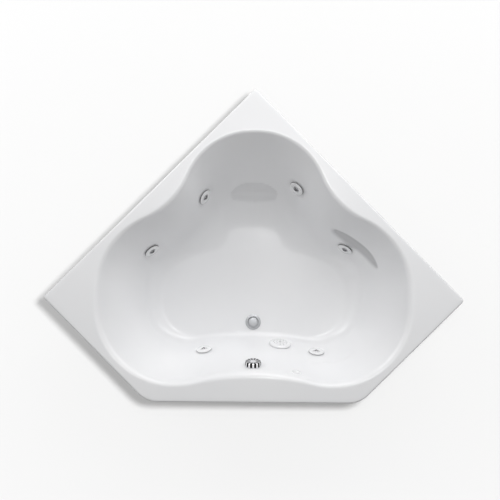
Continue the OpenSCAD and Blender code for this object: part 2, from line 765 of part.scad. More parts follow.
module jet_ring(k) {
    well = ring_t - 2 * ball_step;
    profile = concat([[0, 0]], [for (q = ring_face) [ring_r - q.x, q.y]],
        [[ball_r + ball_rim, ring_t - ball_step], [ball_r - 1, well], [0, well]]);
    color("white") on_wall(jets[k]) difference() {
        union() {
            translate([0, 0, ring_z]) rotate_extrude() polygon(profile);
            rod(sleeve_r, -sleeve_l, ring_z + 0.7);
        }
        translate([0, 0, ball_z]) sphere(r = ball_r + run);
        rod(ball_r - throat, -sleeve_l - over, ring_z + ring_t + over);
    }
}
module jet_nozzle(k) {
    color("white") on_wall(jets[k]) translate([0, 0, ball_z]) difference() {
        sphere(r = ball_r);
        rod(ball_r, ball_r * ball_front, 2 * ball_r);
        rod(ball_r, -2 * ball_r, -ball_r * ball_back);
        for (m = [0:hole_n - 1]) rotate([0, 0, 360 * m / hole_n]) translate([ball_r * hole_out, 0, 0])
            rod(hole_r, -ball_r, ball_r);
    }
}

// Places on the pump: front of the casing, ends of inlet and outlet, motor and terminal box
volute_y = -292;
stub_l = 34;
inlet_y = volute_y - volute_l - stub_l;
outlet_y = volute_y - volute_l / 2;
outlet_top = pump_z + volute_r + stub_l;
motor_y = volute_y + motor_l + gap;
terminal_y = volute_y + 102;
terminal_w = 74;
terminal_h = 42;
terminal_z = pump_z + motor_r - 3;
switch_x = pump_x + 28;

// A tube swept along a path: parallel frames, ring of points, walls and ends
function bend(p, r, n) = [for (i = [0:len(p) - 1]) each i == 0 || i == len(p) - 1 ? [p[i]] : let(
    u = unit(p[i - 1] - p[i]), v = unit(p[i + 1] - p[i]),
    t = min(r, 0.48 * norm(p[i - 1] - p[i]), 0.48 * norm(p[i + 1] - p[i])))
    [for (k = [0:n]) let(s = k / n) p[i] + pow(1 - s, 2) * t * u + s * s * t * v]];
function heading(p, i) = unit(p[min(i + 1, len(p) - 1)] - p[max(i - 1, 0)]);
function square_to(t, g) = unit(g - (g * t) * t);
function seed(t) = square_to(t, abs(t.z) > 0.8 ? [1, 0, 0] : [0, 0, 1]);
function frames(p) = [for (i = 0, u = seed(heading(p, 0)); i < len(p);
    i = i + 1, u = i < len(p) ? square_to(heading(p, i), u) : u) u];
module tube(p, r, bore, sides) {
    f = frames(p);
    n = len(p);
    ring = function(i, q) [for (k = [0:sides - 1]) let(a = 360 * k / sides, t = heading(p, i))
        p[i] + q * (cos(a) * f[i] + sin(a) * cross(t, f[i]))];
    o = function(i, k) i * sides + k % sides;
    c = function(i, k) (n + i) * sides + k % sides;
    walls = [for (i = [0:n - 2], k = [0:sides - 1]) each [
        [o(i, k), o(i + 1, k + 1), o(i, k + 1)], [o(i, k), o(i + 1, k), o(i + 1, k + 1)],
        [c(i, k), c(i, k + 1), c(i + 1, k + 1)], [c(i, k), c(i + 1, k + 1), c(i + 1, k)]]];
    ends = [for (k = [0:sides - 1]) each [
        [o(0, k), o(0, k + 1), c(0, k + 1)], [o(0, k), c(0, k + 1), c(0, k)],
        [o(n - 1, k), c(n - 1, k + 1), o(n - 1, k + 1)], [o(n - 1, k), c(n - 1, k), c(n - 1, k + 1)]]];
    polyhedron(points = [for (i = [0:n - 1]) each ring(i, r), for (i = [0:n - 1]) each ring(i, bore)],
        faces = concat(walls, ends));
}

// Water and air go from jet to jet behind the wall; the pump feeds a tee on the right
hose_r = 18.4;
hose_bore_r = 14.7;
air_hose_r = 7.4;
air_hose_bore_r = 5.6;
hose_start = neck_tube_r + 7;
hose_lead = 80;
hose_turn = 45;
hose_sides = 12;
air_turn = 30;
air_sides = 8;
// Clearance of the water and air hoses from the wall, and how much higher the air hoses run
water_off = 72;
air_off = 96;
air_rise = 26;
hop_margin = 14;
tee_rise = 59;
tee_run = 46;
tee_leg = 52;
tee_depth = 14;
tee_at = [pump_x, outlet_y, outlet_top + tee_rise];
// Points that hoses pass behind the wall: bearing, height and distance from the wall
to_tee_via = [-42, 270, water_off];
from_tee_via = [2, 275, water_off];
air_vias = [[-40, 345, 64], [-18, 385, 60], [0, 345, 64]];
silencer_at = local(jets[5], [0, -150, -60]) + [0, 0, 90];
silencer_lead = 70;
function behind(v) = ray(v[0], reach(v[0], v[1]) + v[2], v[1]);
function along_wall(a, b, za, zb, off) = [for (k = [0:3])
    let(g = a + hop_margin + (b - a - 2 * hop_margin) * k / 3, z = za + (zb - za) * (g - a) / (b - a))
    behind([g, z, off])];
function leave(s, way, x, z, end) = [local(s, [x, way * hose_start, z]), local(s, [x, way * end, z])];
function hop(i, x, z, end, off, dz) = let(a = jets[i], b = jets[i + 1])
    concat(leave(a, -1, x, z, end), along_wall(a[0], b[0], a[1] + dz, b[1] + dz, off),
        reversed(leave(b, 1, x, z, end)));
module water_hose(path, n) {
    tube(bend(path, hose_turn, n), hose_r, hose_bore_r, hose_sides);
}
module air_hose(path, n) {
    tube(bend(path, air_turn, n), air_hose_r, air_hose_bore_r, air_sides);
}
module water_hoses() {
    end_y = tee_run - tee_depth;
    to_tee = concat(leave(jets[0], -1, 0, water_z, hose_lead),
        [behind(to_tee_via), tee_at - [0, tee_run + 60, 0], tee_at - [0, end_y, 0]]);
    from_tee = concat([tee_at + [0, end_y, 0], tee_at + [0, tee_run + 50, 0], behind(from_tee_via)],
        reversed(leave(jets[1], 1, 0, water_z, hose_lead)));
    color("lightgray") {
        water_hose(to_tee, 3);
        water_hose(from_tee, 3);
        for (i = [1:4]) water_hose(hop(i, 0, water_z, hose_lead, water_off, 0), 2);
    }
}
module air_hoses() {
    color("dimgray") {
        for (i = [1:4]) air_hose(hop(i, air_x, air_z, hose_lead - 10, air_off, air_rise), 2);
        air_hose(concat(leave(jets[0], -1, air_x, air_z, hose_lead), [for (v = air_vias) behind(v)],
            reversed(leave(jets[1], 1, air_x, air_z, hose_lead))), 2);
        air_hose(concat(leave(jets[5], -1, air_x, air_z, hose_lead),
            [silencer_at - [silencer_lead, 0, 0], silencer_at]), 3);
    }
}

// Silencer at the free end of the air hose, with slots round it
silencer_r = 15;
silencer_l = 38;
silencer_z = 2;
silencer_tail = 16;
slot_n = 5;
slot_first = 3;
slot_pitch = 6;
slot_w = 2;
slot_d = 1.5;
module air_silencer() {
    color("dimgray") translate(silencer_at) rotate([0, 90, 0]) difference() {
        union() {
            rod(silencer_r, silencer_z, silencer_z + silencer_l);
            rod(air_barb_r, -silencer_tail, silencer_z + over);
        }
        rod(air_bore_r, -silencer_tail - over, silencer_l - 8);
        for (k = [1:slot_n]) translate([0, 0, slot_pitch * k + slot_first])
            washer(silencer_r + over, silencer_r - slot_d, 0, slot_w);
    }
}
module manifold_tee() {
    color("whitesmoke") translate(tee_at) difference() {
        union() {
            across(0, 0, hose_r + 5, tee_run);
            rod(pipe_r + 5, -tee_leg, 0);
        }
        across(0, 0, hose_bore_r, tee_run + over);
        for (m = [0, 1]) mirror([0, m, 0]) translate([0, tee_run + over, 0]) rotate([90, 0, 0])
            cylinder(r = hose_r + slip, h = tee_depth + 2);
        rod(pipe_r - pipe_wall, -tee_leg - over, 0);
        rod(pipe_r + slip, -tee_leg - over, pipe_depth + pipe_play - tee_leg);
    }
}

// Suction fitting low on the front wall with its slotted cover, and its pipe round to the pump
pipe_wall = 3;
pipe_depth = 14;
suction_l = 40;
suction_nut_r = suction_flange_r - 1;
suction_stop = 18;
suction_rib_w = 8;
suction_rib_l = 15;
screw_r = 2.5;
screw_head_r = 5.5;
screw_head_t = 2.5;
screw_slot_w = 1.2;
screw_slot_d = 1;
screw_in = 8;
cover_h = 13;
cover_t = 2.5;
// Outer and inner face of the cover, each point as inset and height
cover_outer = [[3, gap], [0, gap], [0, 4], [2, 7.5], [8, 10.5], [cover_r / 2, 12.6]];
cover_inner = [[cover_r / 2, 10], [10, 8], [4, 4]];
// Rings of holes in the cover: count, share of its radius and hole radius
cover_holes = [[12, 0.62, 3.6], [8, 0.36, 3.2]];
module suction_fitting() {
    rib_z = flange_t - 1 - suction_rib_l;
    color("white") on_wall(suction_at) difference() {
        union() {
            rod(suction_flange_r, seat_in, seat_in + flange_t);
            rod(suction_tube_r, -suction_l, 0);
        }
        rod(pipe_r + slip, -suction_l - over, -suction_stop);
        difference() {
            rod(pipe_r - pipe_wall, -suction_stop - over, flange_t);
            for (a = [0, 90]) rotate([0, 0, a]) translate([-pipe_r, -suction_rib_w / 2, rib_z])
                cube([2 * pipe_r, suction_rib_w, suction_rib_l]);
        }
        rod(screw_r, -screw_in, flange_t);
    }
}
module suction_cover() {
    profile = concat([for (q = cover_outer) [cover_r - q.x, q.y]], [[0, cover_h], [0, cover_h - cover_t]],
        [for (q = cover_inner) [cover_r - q.x, q.y]]);
    color("white") on_wall(suction_at) translate([0, 0, seat_in + flange_t]) {
        difference() {
            rotate_extrude() polygon(profile);
            for (h = cover_holes, k = [1:h[0]]) rotate([0, 0, 360 * k / h[0]])
                translate([cover_r * h[1], 0, 0]) rod(h[2], cover_h / 2, cover_h + over);
            rod(screw_r + slip, 0, cover_h + over);
        }
        washer(9, screw_r + slip, 0, cover_h - cover_t + over);
    }
}
module suction_screw() {
    color("silver") on_wall(suction_at) translate([0, 0, seat_in + flange_t]) difference() {
        union() {
            rod(screw_r, -screw_in, cover_h);
            rod(screw_head_r, cover_h, cover_h + screw_head_t);
        }
        translate([-screw_head_r, -screw_slot_w / 2, cover_h + screw_head_t - screw_slot_d])
            cube([2 * screw_head_r, screw_slot_w, screw_head_t]);
    }
}
module suction_nut() {
    color("gainsboro") on_wall(suction_at) lugged_nut(suction_nut_r, suction_tube_r + slip, 6);
}
// The pipe leaves square to the wall, turns to the right and meets the pump's inlet
suction_pipe_start = 26;
suction_lead = 100;
suction_turn = 60;
suction_first = [130, -8];
suction_first_z = 108;
suction_low = [-180, -182, -19];
module suction_pipe() {
    a = local(suction_at, [0, 0, -suction_pipe_start]);
    b = local(suction_at, [0, 0, -suction_lead]);
    c = [b.x + suction_first.x, b.y + suction_first.y, suction_first_z];
    d = [pump_x, inlet_y, pump_z] + suction_low;
    path = concat([a, b, c, d], [for (l = [60, 30, -pipe_depth]) [pump_x, inlet_y - l, pump_z]]);
    color("whitesmoke") tube(bend(path, suction_turn, 4), pipe_r, pipe_r - pipe_wall, 16);
}
module discharge_pipe() {
    path = [[pump_x, outlet_y, outlet_top - pipe_depth], [pump_x, outlet_y, tee_at.z - tee_leg + pipe_depth]];
    color("whitesmoke") tube(path, pipe_r, pipe_r - pipe_wall, 16);
}

// Push button: bezel with its air chamber, sliding cap and thin tube to the switch
bezel_t = 3;
chamber_l = 30;
chamber_d = 22;
nipple_r = 4.5;
nipple_bore_r = 1.5;
nipple_l = 14;
thin_r = 6.2;
thin_bore_r = 4.9;
// Profile of the cap from its dished middle out and down, inset from its edge and height
cap_face = [[0.4 * button_r, -1.9], [1.5, -0.2], [0.7, -0.1], [0, -0.9]];
skirt_l = 14;
skirt_wall = 2.5;
face_t = 6;
dish_d = 2.6;
module button_bezel() {
    color("white") on_wall(button_at) difference() {
        union() {
            translate([0, 0, seat_in]) cylinder(r1 = button_flange_r, r2 = button_flange_r - 2, h = bezel_t);
            rod(button_tube_r, -chamber_l, 0);
            rod(nipple_r, -chamber_l - nipple_l, -chamber_l + 2);
        }
        rod(button_r + run, -chamber_d, bezel_t);
        rod(nipple_bore_r, -chamber_l - nipple_l - over, -chamber_d + over);
    }
}
module button_cap() {
    inner = button_r - skirt_wall;
    profile = concat([[0, -dish_d]], [for (q = cap_face) [button_r - q.x, q.y]],
        [[button_r, -skirt_l], [inner, -skirt_l], [inner, -face_t], [0, -face_t]]);
    color("whitesmoke") on_wall(button_at) translate([0, 0, seat_in + bezel_t + 0.4 * button_travel])
        rotate_extrude() polygon(profile);
}
// The thin tube runs along the front and round the right corner, under the deck, to the pump's switch
thin_start = 36;
thin_lead = 58;
thin_turn = 30;
thin_z = deck_h - 78;
thin_front_y = front_y + 36;
thin_corner = side_x - side_y - 34;
thin_side_y = -372;
module button_tube() {
    a = local(button_at, [0, 0, -thin_start]);
    b = local(button_at, [0, 0, -thin_lead]);
    box_top = terminal_z + terminal_h;
    path = [a, b, [b.x + 30, thin_front_y, thin_z], [thin_corner + thin_front_y - 10, thin_front_y, thin_z],
        [thin_corner + thin_side_y, thin_side_y, thin_z], [switch_x + 30, terminal_y - 110, thin_z - 30],
        [switch_x, terminal_y, thin_z - 80], [switch_x, terminal_y, box_top + thin_r]];
    color("lightgray") tube(bend(path, thin_turn, 3), thin_r, thin_bore_r, 8);
}

// Pump: casing with inlet and outlet, impeller and shaft, motor, cover, base and box
volute_wall = 6;
impeller_r = volute_r - 18;
impeller_t = 4;
impeller_hub_l = 20;
vane_t = 3;
vane_l = 15;
vane_lean = -25;
front_gap = 12;
module along_shaft(y) {
    translate([pump_x, y, pump_z]) rotate([90, 0, 0]) children();
}
module pump_volute() {
    inner = volute_r - volute_wall;
    stub_r = pipe_r + volute_wall;
    color("dimgray") difference() {
        union() {
            along_shaft(volute_y) rod(volute_r, 0, volute_l);
            along_shaft(volute_y) rod(stub_r, volute_l - 1, volute_l + stub_l);
            translate([pump_x, outlet_y, 0]) rod(stub_r, pump_z + inner, outlet_top);
        }
        along_shaft(volute_y) rod(inner, volute_wall + 2, volute_l - volute_wall);
        along_shaft(volute_y) rod(pipe_r - pipe_wall, volute_l / 2, volute_l + stub_l + over);
        along_shaft(inlet_y + pipe_depth + pipe_play) rod(pipe_r + slip, 0, pipe_depth + 2 * pipe_play);
        along_shaft(volute_y) rod(shaft_r + run, -over, volute_l / 2);
        translate([pump_x, outlet_y, 0]) {
            rod(pipe_r - pipe_wall, pump_z + inner / 2, outlet_top + over);
            rod(pipe_r + slip, outlet_top - pipe_depth - pipe_play, outlet_top + over);
        }
    }
}
module impeller() {
    color("gainsboro") along_shaft(volute_y - front_gap) difference() {
        union() {
            rod(impeller_r, 0, impeller_t);
            rod(2 * shaft_r, 0, impeller_hub_l);
            for (k = [0:vane_n - 1]) rotate([0, 0, 360 * k / vane_n])
                translate([shaft_r + 4, 0, impeller_t - 1]) rotate([0, 0, vane_lean])
                    cube([impeller_r - 2 * shaft_r - 7, vane_t, vane_l]);
        }
        rod(shaft_r, -over, impeller_hub_l + over);
    }
}
rotor_back = 50;
rotor_gap = 14;
end_play = 2;
module pump_shaft() {
    back = motor_y - end_play;
    color("silver") {
        along_shaft(back) rod(shaft_r, 0, back - volute_y + volute_l / 2 + 1);
        along_shaft(motor_y) washer(motor_r - motor_wall - rotor_gap, shaft_r, rotor_back, motor_l - 40);
    }
}
// Motor: wall, end caps, fins and the bands at both ends
motor_wall = 12;
motor_cap = 8;
fin_n = 24;
fin_d = 5;
fin_t = 3;
band_l = 10;
band_gap = 2;
module motor_housing() {
    core_r = motor_r - fin_d;
    band_r = motor_r - motor_cap;
    fin_l = motor_l - 2 * band_l - 3 * band_gap;
    box_w = terminal_w + 2 * slip;
    color("slategray") difference() {
        union() {
            along_shaft(motor_y) rod(core_r, 0, motor_l);
            for (k = [0:fin_n - 1]) along_shaft(motor_y) rotate([0, 0, 360 * (k + 0.5) / fin_n])
                translate([band_r, -fin_t / 2, band_l + band_gap]) cube([motor_cap, fin_t, fin_l]);
            along_shaft(motor_y) washer(motor_r, band_r, 0, band_l);
            along_shaft(motor_y) washer(motor_r, band_r, motor_l - band_l - band_gap, motor_l - band_gap);
        }
        along_shaft(motor_y) rod(motor_r - motor_wall, motor_cap, motor_l - motor_cap);
        along_shaft(motor_y) rod(shaft_r + run, -over, motor_l + over);
        translate([pump_x - box_w / 2, terminal_y - box_w / 2, terminal_z]) cube([box_w, box_w, terminal_h]);
    }
}
cover_l = 34;
cover_step = 3;
cover_wall = 3;
grille_r = 4;
grille_rings = [0.38, 0.62];
module fan_cover() {
    color("black") along_shaft(motor_y + cover_l + gap) difference() {
        rod(motor_r - cover_step, 0, cover_l);
        rod(motor_r - cover_step - cover_wall, cover_wall, cover_l + over);
        for (k = [0:11], q = grille_rings) rotate([0, 0, 30 * k]) translate([motor_r * q, 0, 0])
            rod(grille_r, -over, cover_wall + over);
        rod(1.5 * grille_r, -over, cover_wall + over);
    }
}
// Base: a plate on the rails with two cradles shaped to the motor
plate_t = 8;
plate_w = 2 * motor_r - 10;
plate_y = [rail_y[0] - 15, rail_y[1] + 18];
cradle_y = [volute_y + 22, volute_y + 132];
cradle_l = 14;
cradle_drop = 28;
module pump_base() {
    x = pump_x - plate_w / 2;
    z = rail_z + rail_h;
    color("black") difference() {
        union() {
            translate([x, plate_y[0], z]) cube([plate_w, plate_y[1] - plate_y[0], plate_t]);
            for (y = cradle_y) translate([x, y, z]) cube([plate_w, cradle_l, pump_z - z - cradle_drop]);
        }
        along_shaft(motor_y) rod(motor_r + slip, 0, motor_l);
        along_shaft(volute_y) rod(volute_r + 1, -over, volute_l + 9);
    }
}
box_wall = 3;
gland_r = 8;
gland_bore_r = 4.5;
gland_nut_l = 6;
gland_cap_l = 12;
switch_l = 20;
module terminal_box() {
    inner_w = terminal_w - 2 * box_wall;
    inner_h = terminal_h - 2 * box_wall;
    half_w = terminal_w / 2;
    color("dimgray") translate([pump_x, terminal_y, terminal_z]) {
        difference() {
            translate([-half_w, -half_w, 0]) cube([terminal_w, terminal_w, terminal_h]);
            translate([-inner_w / 2, -inner_w / 2, box_wall]) cube([inner_w, inner_w, inner_h]);
            translate([half_w, 0, terminal_h / 2]) rotate([0, 90, 0]) rod(gland_r, -2 * box_wall, over);
        }
        translate([switch_x - pump_x, 0, terminal_h]) washer(nipple_r, nipple_bore_r, 0, switch_l);
    }
}
module cord_gland() {
    at = [pump_x + terminal_w / 2, terminal_y, terminal_z + terminal_h / 2];
    end = gland_nut_l + gland_cap_l;
    color("black") translate(at) rotate([0, 90, 0]) difference() {
        union() {
            rod(gland_r - slip, -gland_nut_l, gland_nut_l / 2);
            cylinder(r = 1.5 * gland_r, h = gland_nut_l, $fn = 6);
            rod(gland_r + 1.5, gland_nut_l, end);
        }
        rod(gland_bore_r, -gland_nut_l - over, end + over);
    }
}
union_nut_l = 20;
union_nut_end = 2;
module union_nut() {
    difference() {
        cylinder(r = pipe_r + 2 * volute_wall, h = union_nut_l, $fn = 8);
        rod(pipe_r + volute_wall + slip, -over, union_nut_l - union_nut_end);
        rod(pipe_r + slip, -over, union_nut_l + over);
    }
}
module union_nuts() {
    color("gainsboro") {
        translate([pump_x, outlet_y, outlet_top + union_nut_end - union_nut_l]) union_nut();
        translate([pump_x, inlet_y + union_nut_l - union_nut_end, pump_z]) rotate([90, 0, 0]) union_nut();
    }
}

tub_shell();
bottom_board();
support_rails();
deck_battens();
foot_pads();
foot_studs();
foot_nuts();
wall_gaskets();
drain_flange();
drain_shoe();
waste_pipe();
waste_tee();
waste_outlet();
slip_nuts();
overflow_pipe();
overflow_elbow();
overflow_collar();
overflow_knob();
knob_spindle();
lift_cable();
stopper_cap();
stopper_seal();
stopper_stem();
jet_fittings();
jet_nuts();
jet_bodies();
for (k = [0:5]) {
    jet_ring(k);
    jet_nozzle(k);
}
water_hoses();
manifold_tee();
air_hoses();
air_silencer();
suction_cover();
suction_screw();
suction_fitting();
suction_nut();
suction_pipe();
discharge_pipe();
button_bezel();
button_cap();
button_tube();
pump_volute();
impeller();
pump_shaft();
motor_housing();
fan_cover();
pump_base();
terminal_box();
cord_gland();
union_nuts();
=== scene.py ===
import json
import math

import bmesh
import bpy
import numpy as np
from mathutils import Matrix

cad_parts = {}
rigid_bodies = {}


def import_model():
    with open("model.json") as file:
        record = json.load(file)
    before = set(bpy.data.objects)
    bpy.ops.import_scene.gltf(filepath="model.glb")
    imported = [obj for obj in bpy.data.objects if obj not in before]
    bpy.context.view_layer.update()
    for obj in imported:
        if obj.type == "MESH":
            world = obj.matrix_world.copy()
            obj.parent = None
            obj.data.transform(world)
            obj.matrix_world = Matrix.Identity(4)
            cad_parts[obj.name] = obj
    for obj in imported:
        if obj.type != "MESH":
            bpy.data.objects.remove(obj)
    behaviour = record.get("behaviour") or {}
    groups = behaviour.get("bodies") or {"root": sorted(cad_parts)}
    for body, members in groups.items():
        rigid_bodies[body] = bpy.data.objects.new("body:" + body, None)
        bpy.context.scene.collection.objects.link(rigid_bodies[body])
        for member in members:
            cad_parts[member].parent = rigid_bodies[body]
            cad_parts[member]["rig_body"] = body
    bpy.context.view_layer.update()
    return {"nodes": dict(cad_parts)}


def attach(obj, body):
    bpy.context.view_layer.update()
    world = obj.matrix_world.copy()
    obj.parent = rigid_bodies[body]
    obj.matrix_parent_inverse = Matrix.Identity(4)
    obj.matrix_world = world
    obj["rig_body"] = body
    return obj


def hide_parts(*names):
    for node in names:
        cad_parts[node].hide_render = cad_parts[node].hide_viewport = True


# Corner jetted bath: smooth shell, fittings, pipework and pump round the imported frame.
# Sizes are millimetres in the frame's own axes. Finishes, lamps and camera are in metres.

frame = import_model()
nodes = frame["nodes"]
bodyOf = {name: ob["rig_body"] for name, ob in nodes.items()}
toMetres = 0.001
print("frame loaded with", len(nodes), "nodes")


# Shader tools
class Wire:
    # one output socket that takes part in arithmetic

    def __init__(self, graph, socket):
        self.graph, self.socket = graph, socket

    def join(self, operation, other, swap=False):
        first, second = (other, self) if swap else (self, other)
        return self.graph.node("Math", {"operation": operation}, {0: first, 1: second})

    def __add__(self, other):
        return self.join("ADD", other)

    def __mul__(self, other):
        return self.join("MULTIPLY", other)

    def __sub__(self, other):
        return self.join("SUBTRACT", other)

    def __rsub__(self, other):
        return self.join("SUBTRACT", other, True)

    __radd__ = __add__
    __rmul__ = __mul__

    def sine(self):
        return self.graph.node("Math", {"operation": "SINE"}, {0: self})

    def wave(self):
        # the sine, moved to run between 0 and 1
        return self.sine() * 0.5 + 0.5

    def between(self, low=0, high=1):
        # 0 below low, 1 above high
        return self.graph.node("MapRange", {"clamp": True}, {"Value": self, "From Min": low, "From Max": high})


class Graph:
    # a node tree; its sockets go by name, or by number where a node has several of one name

    def __init__(self, tree):
        self.tree = tree

    def node(self, kind, settings=None, sockets=None, output=0):
        # settings are set first, then values or wires go into the sockets
        made = self.tree.nodes.new("ShaderNode" + kind)
        for key, value in (settings or {}).items():
            setattr(made, key, value)
        for key, value in (sockets or {}).items():
            self.plug(made.inputs[key], value)
        return Wire(self, made.outputs[output])

    def plug(self, socket, value):
        if isinstance(value, Wire):
            self.tree.links.new(value.socket, socket)
        else:
            socket.default_value = (*value, 1) if socket.type == "RGBA" else value

    def cameraSees(self):
        # 1 for camera, glossy and transmission rays, which see the surround's own shade
        kinds = ("Is Camera Ray", "Is Glossy Ray", "Is Transmission Ray")
        first, second, third = (self.node("LightPath", output=kind) for kind in kinds)
        return first.join("MAXIMUM", second).join("MAXIMUM", third)


class Finish(Graph):
    # one material: a Principled shader and the nodes that feed it

    def __init__(self, name, **constants):
        self.name, self.material = name, bpy.data.materials.new(name)
        self.material.use_nodes = True
        super().__init__(self.material.node_tree)
        self.shader = self.tree.nodes["Principled BSDF"]
        for key, value in constants.items():
            self.feed(key, value)

    def feed(self, key, value):
        self.plug(self.shader.inputs[key.replace("_", " ")], value)

    def noise(self, scale, detail=3, rough=0.5, stretch=(1, 1, 1), turn=(0, 0, 0)):
        spot = self.node("TexCoord", output="Object")
        place = self.node("Mapping", {}, {"Vector": spot, "Rotation": turn, "Scale": stretch})
        return self.node("TexNoise", {}, {"Vector": place, "Scale": scale, "Detail": detail, "Roughness": rough})

    def cloud(self, scale):
        # soft patches with finer ones in them
        return self.noise(scale, 4, 0.6)

    def painted(self, name):
        # the single value of a mesh attribute
        return self.node("Attribute", {"attribute_name": name}, output=2)

    def part(self, axis, source="Object"):
        spot = self.node("TexCoord", output=source)
        return self.node("SeparateXYZ", {}, {0: spot}, output=axis)

    def blend(self, factor, low, high):
        # a Mix node's colours are its sockets 6 and 7, and come out at 2
        return self.node("Mix", {"data_type": "RGBA"}, {0: factor, 6: low, 7: high}, output=2)

    def made(self, look, color, rough, relief=None):
        # roughness comes on top of the look's own; a full step of the relief is the look's depth, in metres
        self.feed("Base Color", color)
        self.feed("Roughness", rough + look["rough"])
        if relief:
            sockets = {"Height": relief, "Distance": look["depth"], "Strength": look["bump"]}
            self.feed("Normal", self.node("Bump", {}, sockets))
        finishes[self.name] = self.material


# Finishes, one for each kind of surface, by name
finishes = {}


def acrylicFinish():
    # satin shell; the rests pressed into the wall carry painted shade, darkest at their upper edge, on a rougher
    # grain
    # the third, dark tone is the painted shade laid into the rests
    look = {"low": (0.83, 0.835, 0.85), "high": (0.88, 0.88, 0.885), "grip": (0.30, 0.302, 0.31), "patch": 3.0,
            "rough": 0.26, "smear": 0.10, "smearScale": 22, "gripRough": 0.25, "grain": 420, "gripGrain": 4,
            "depth": 0.00003, "bump": 0.35}
    f = Finish("acrylic", IOR=1.49, Coat_Weight=0.12, Coat_Roughness=0.12)
    grip = f.painted("grip")
    shell = f.blend(f.noise(look["patch"]), look["low"], look["high"])
    smear = f.noise(look["smearScale"], 4, 0.6, (1, 1, 0.4)) * look["smear"]
    grain = f.noise(look["grain"], 2) * (grip * look["gripGrain"] + 1)
    f.made(look, f.blend(grip, shell, look["grip"]), smear + grip * look["gripRough"], grain)


def backingFinish():
    # chopped glass strands in resin on the back of the shell, in three layers that lie their own way
    look = {"resin": (0.56, 0.53, 0.40), "strand": (0.80, 0.79, 0.70), "strandScale": 14, "edge": 0.08,
            "lumpScale": 30, "rough": 0.62, "gloss": 0.22, "depth": 0.0012, "bump": 0.8}
    # stretch, turn and lowest noise of each layer's strands
    layers = [((1, 22, 9), (0.3, 0.2, 0.5), 0.56), ((22, 1, 9), (0.2, 0.5, 1.3), 0.57),
              ((18, 9, 1), (0.9, 0.3, 0.1), 0.57)]
    f = Finish("glassBacking", IOR=1.52)
    strands = sum(f.noise(look["strandScale"], 2, 0.5, stretch, turn).between(low, low + look["edge"])
                  for stretch, turn, low in layers)
    lumps = f.cloud(look["lumpScale"])
    color = f.blend(strands.between() * 0.55 + lumps * 0.25, look["resin"], look["strand"])
    f.made(look, color, strands.between(0, 2) * -look["gloss"], strands * 0.4 + lumps)


def plywoodFinish():
    # long grain, and plies that show on the edges
    look = {"pale": (0.62, 0.45, 0.27), "dark": (0.42, 0.27, 0.14), "plies": 2100, "grain": 9, "draw": (1, 14, 14),
            "rough": 0.6, "spread": 0.2, "depth": 0.0004, "bump": 0.7}
    f = Finish("plywood", Specular_IOR_Level=0.3)
    grain = f.noise(look["grain"], 5, 0.6, look["draw"])
    plies = (f.part(2) * look["plies"]).wave()
    color = f.blend(grain * 0.6 + plies.between(0.3, 0.7) * 0.35, look["dark"], look["pale"])
    f.made(look, color, grain * look["spread"], grain + plies * 0.3)


def softwoodFinish():
    # year rings that warp a little, and fibres along the timber
    look = {"pale": (0.70, 0.53, 0.33), "dark": (0.46, 0.29, 0.15), "rings": 620, "warp": 0.05, "warpScale": 5,
            "fibre": 60, "draw": (0.15, 6, 6), "rough": 0.55, "spread": 0.25, "depth": 0.0004, "bump": 0.7}
    f = Finish("softwood", Specular_IOR_Level=0.3)
    warp = f.noise(look["warpScale"], 2, 0.5, (0.6, 3, 3)) * look["warp"]
    rings = ((f.part(1) + f.part(2) * 0.6 + warp) * look["rings"]).wave()
    fibre = f.noise(look["fibre"], 4, 0.6, look["draw"])
    color = f.blend(rings * 0.55 + fibre * 0.4, look["pale"], look["dark"])
    f.made(look, color, fibre * look["spread"], fibre + rings * 0.4)


def speckledFinish(name, low, high, rough, grain, depth, line=None, **constants):
    # moulded plastic or rubber: a faint cloud of tone and a fine die texture; a painted shade line on it is dark and
    # dull
    look = {"patch": 11, "smear": 35, "spread": 0.14, "rough": rough, "depth": depth, "bump": 0.6,
            "line": (0.05, 0.05, 0.052), "lineRough": 0.3}
    f = Finish(name, **constants)
    color, smear = f.blend(f.cloud(look["patch"]), low, high), f.cloud(look["smear"]) * look["spread"]
    if line:
        # the marked line is painted shade: dark, and rougher
        mask = f.painted(line)
        color, smear = f.blend(mask, color, look["line"]), smear + mask * look["lineRough"]
    f.made(look, color, smear, f.noise(grain, 3, 0.6))


def metalFinish(name, low, high, rough, spread, stretch, depth):
    # plated or turned metal: fine marks along one way, and duller patches
    look = {"marks": 160, "patch": 18, "rough": rough, "depth": depth, "bump": 0.35}
    f = Finish(name, Metallic=1.0)
    marks, patch = f.noise(look["marks"], 3, 0.6, stretch), f.noise(look["patch"])
    f.made(look, f.blend(marks * 0.5 + patch * 0.5, low, high), marks * spread + patch * spread * 0.5, marks)


def knobFinish():
    # polished plating with painted dark reflections, which lie in the finger flutes and run on over the face
    look = {"bright": (0.90, 0.90, 0.91), "shade": (0.012, 0.012, 0.013), "reflectionRange": (0.25, 0.5), "rough": 0.05,
            "fluteRough": 0.25, "smear": 0.08, "smearScale": 60}
    f = Finish("fluteChrome", Metallic=1.0)
    deep = f.painted("fluteReflection")
    color = f.blend(deep.between(*look["reflectionRange"]), look["bright"], look["shade"])
    f.made(look, color, f.noise(look["smearScale"]) * look["smear"] + deep * look["fluteRough"])


# the gloss plastic of rings, nozzles and wall fittings
gloss = {"low": (0.84, 0.845, 0.86), "high": (0.88, 0.88, 0.885), "rough": 0.12, "grain": 500, "depth": 0.00002}
glossCoat = {"Coat_Weight": 0.4, "Coat_Roughness": 0.05}


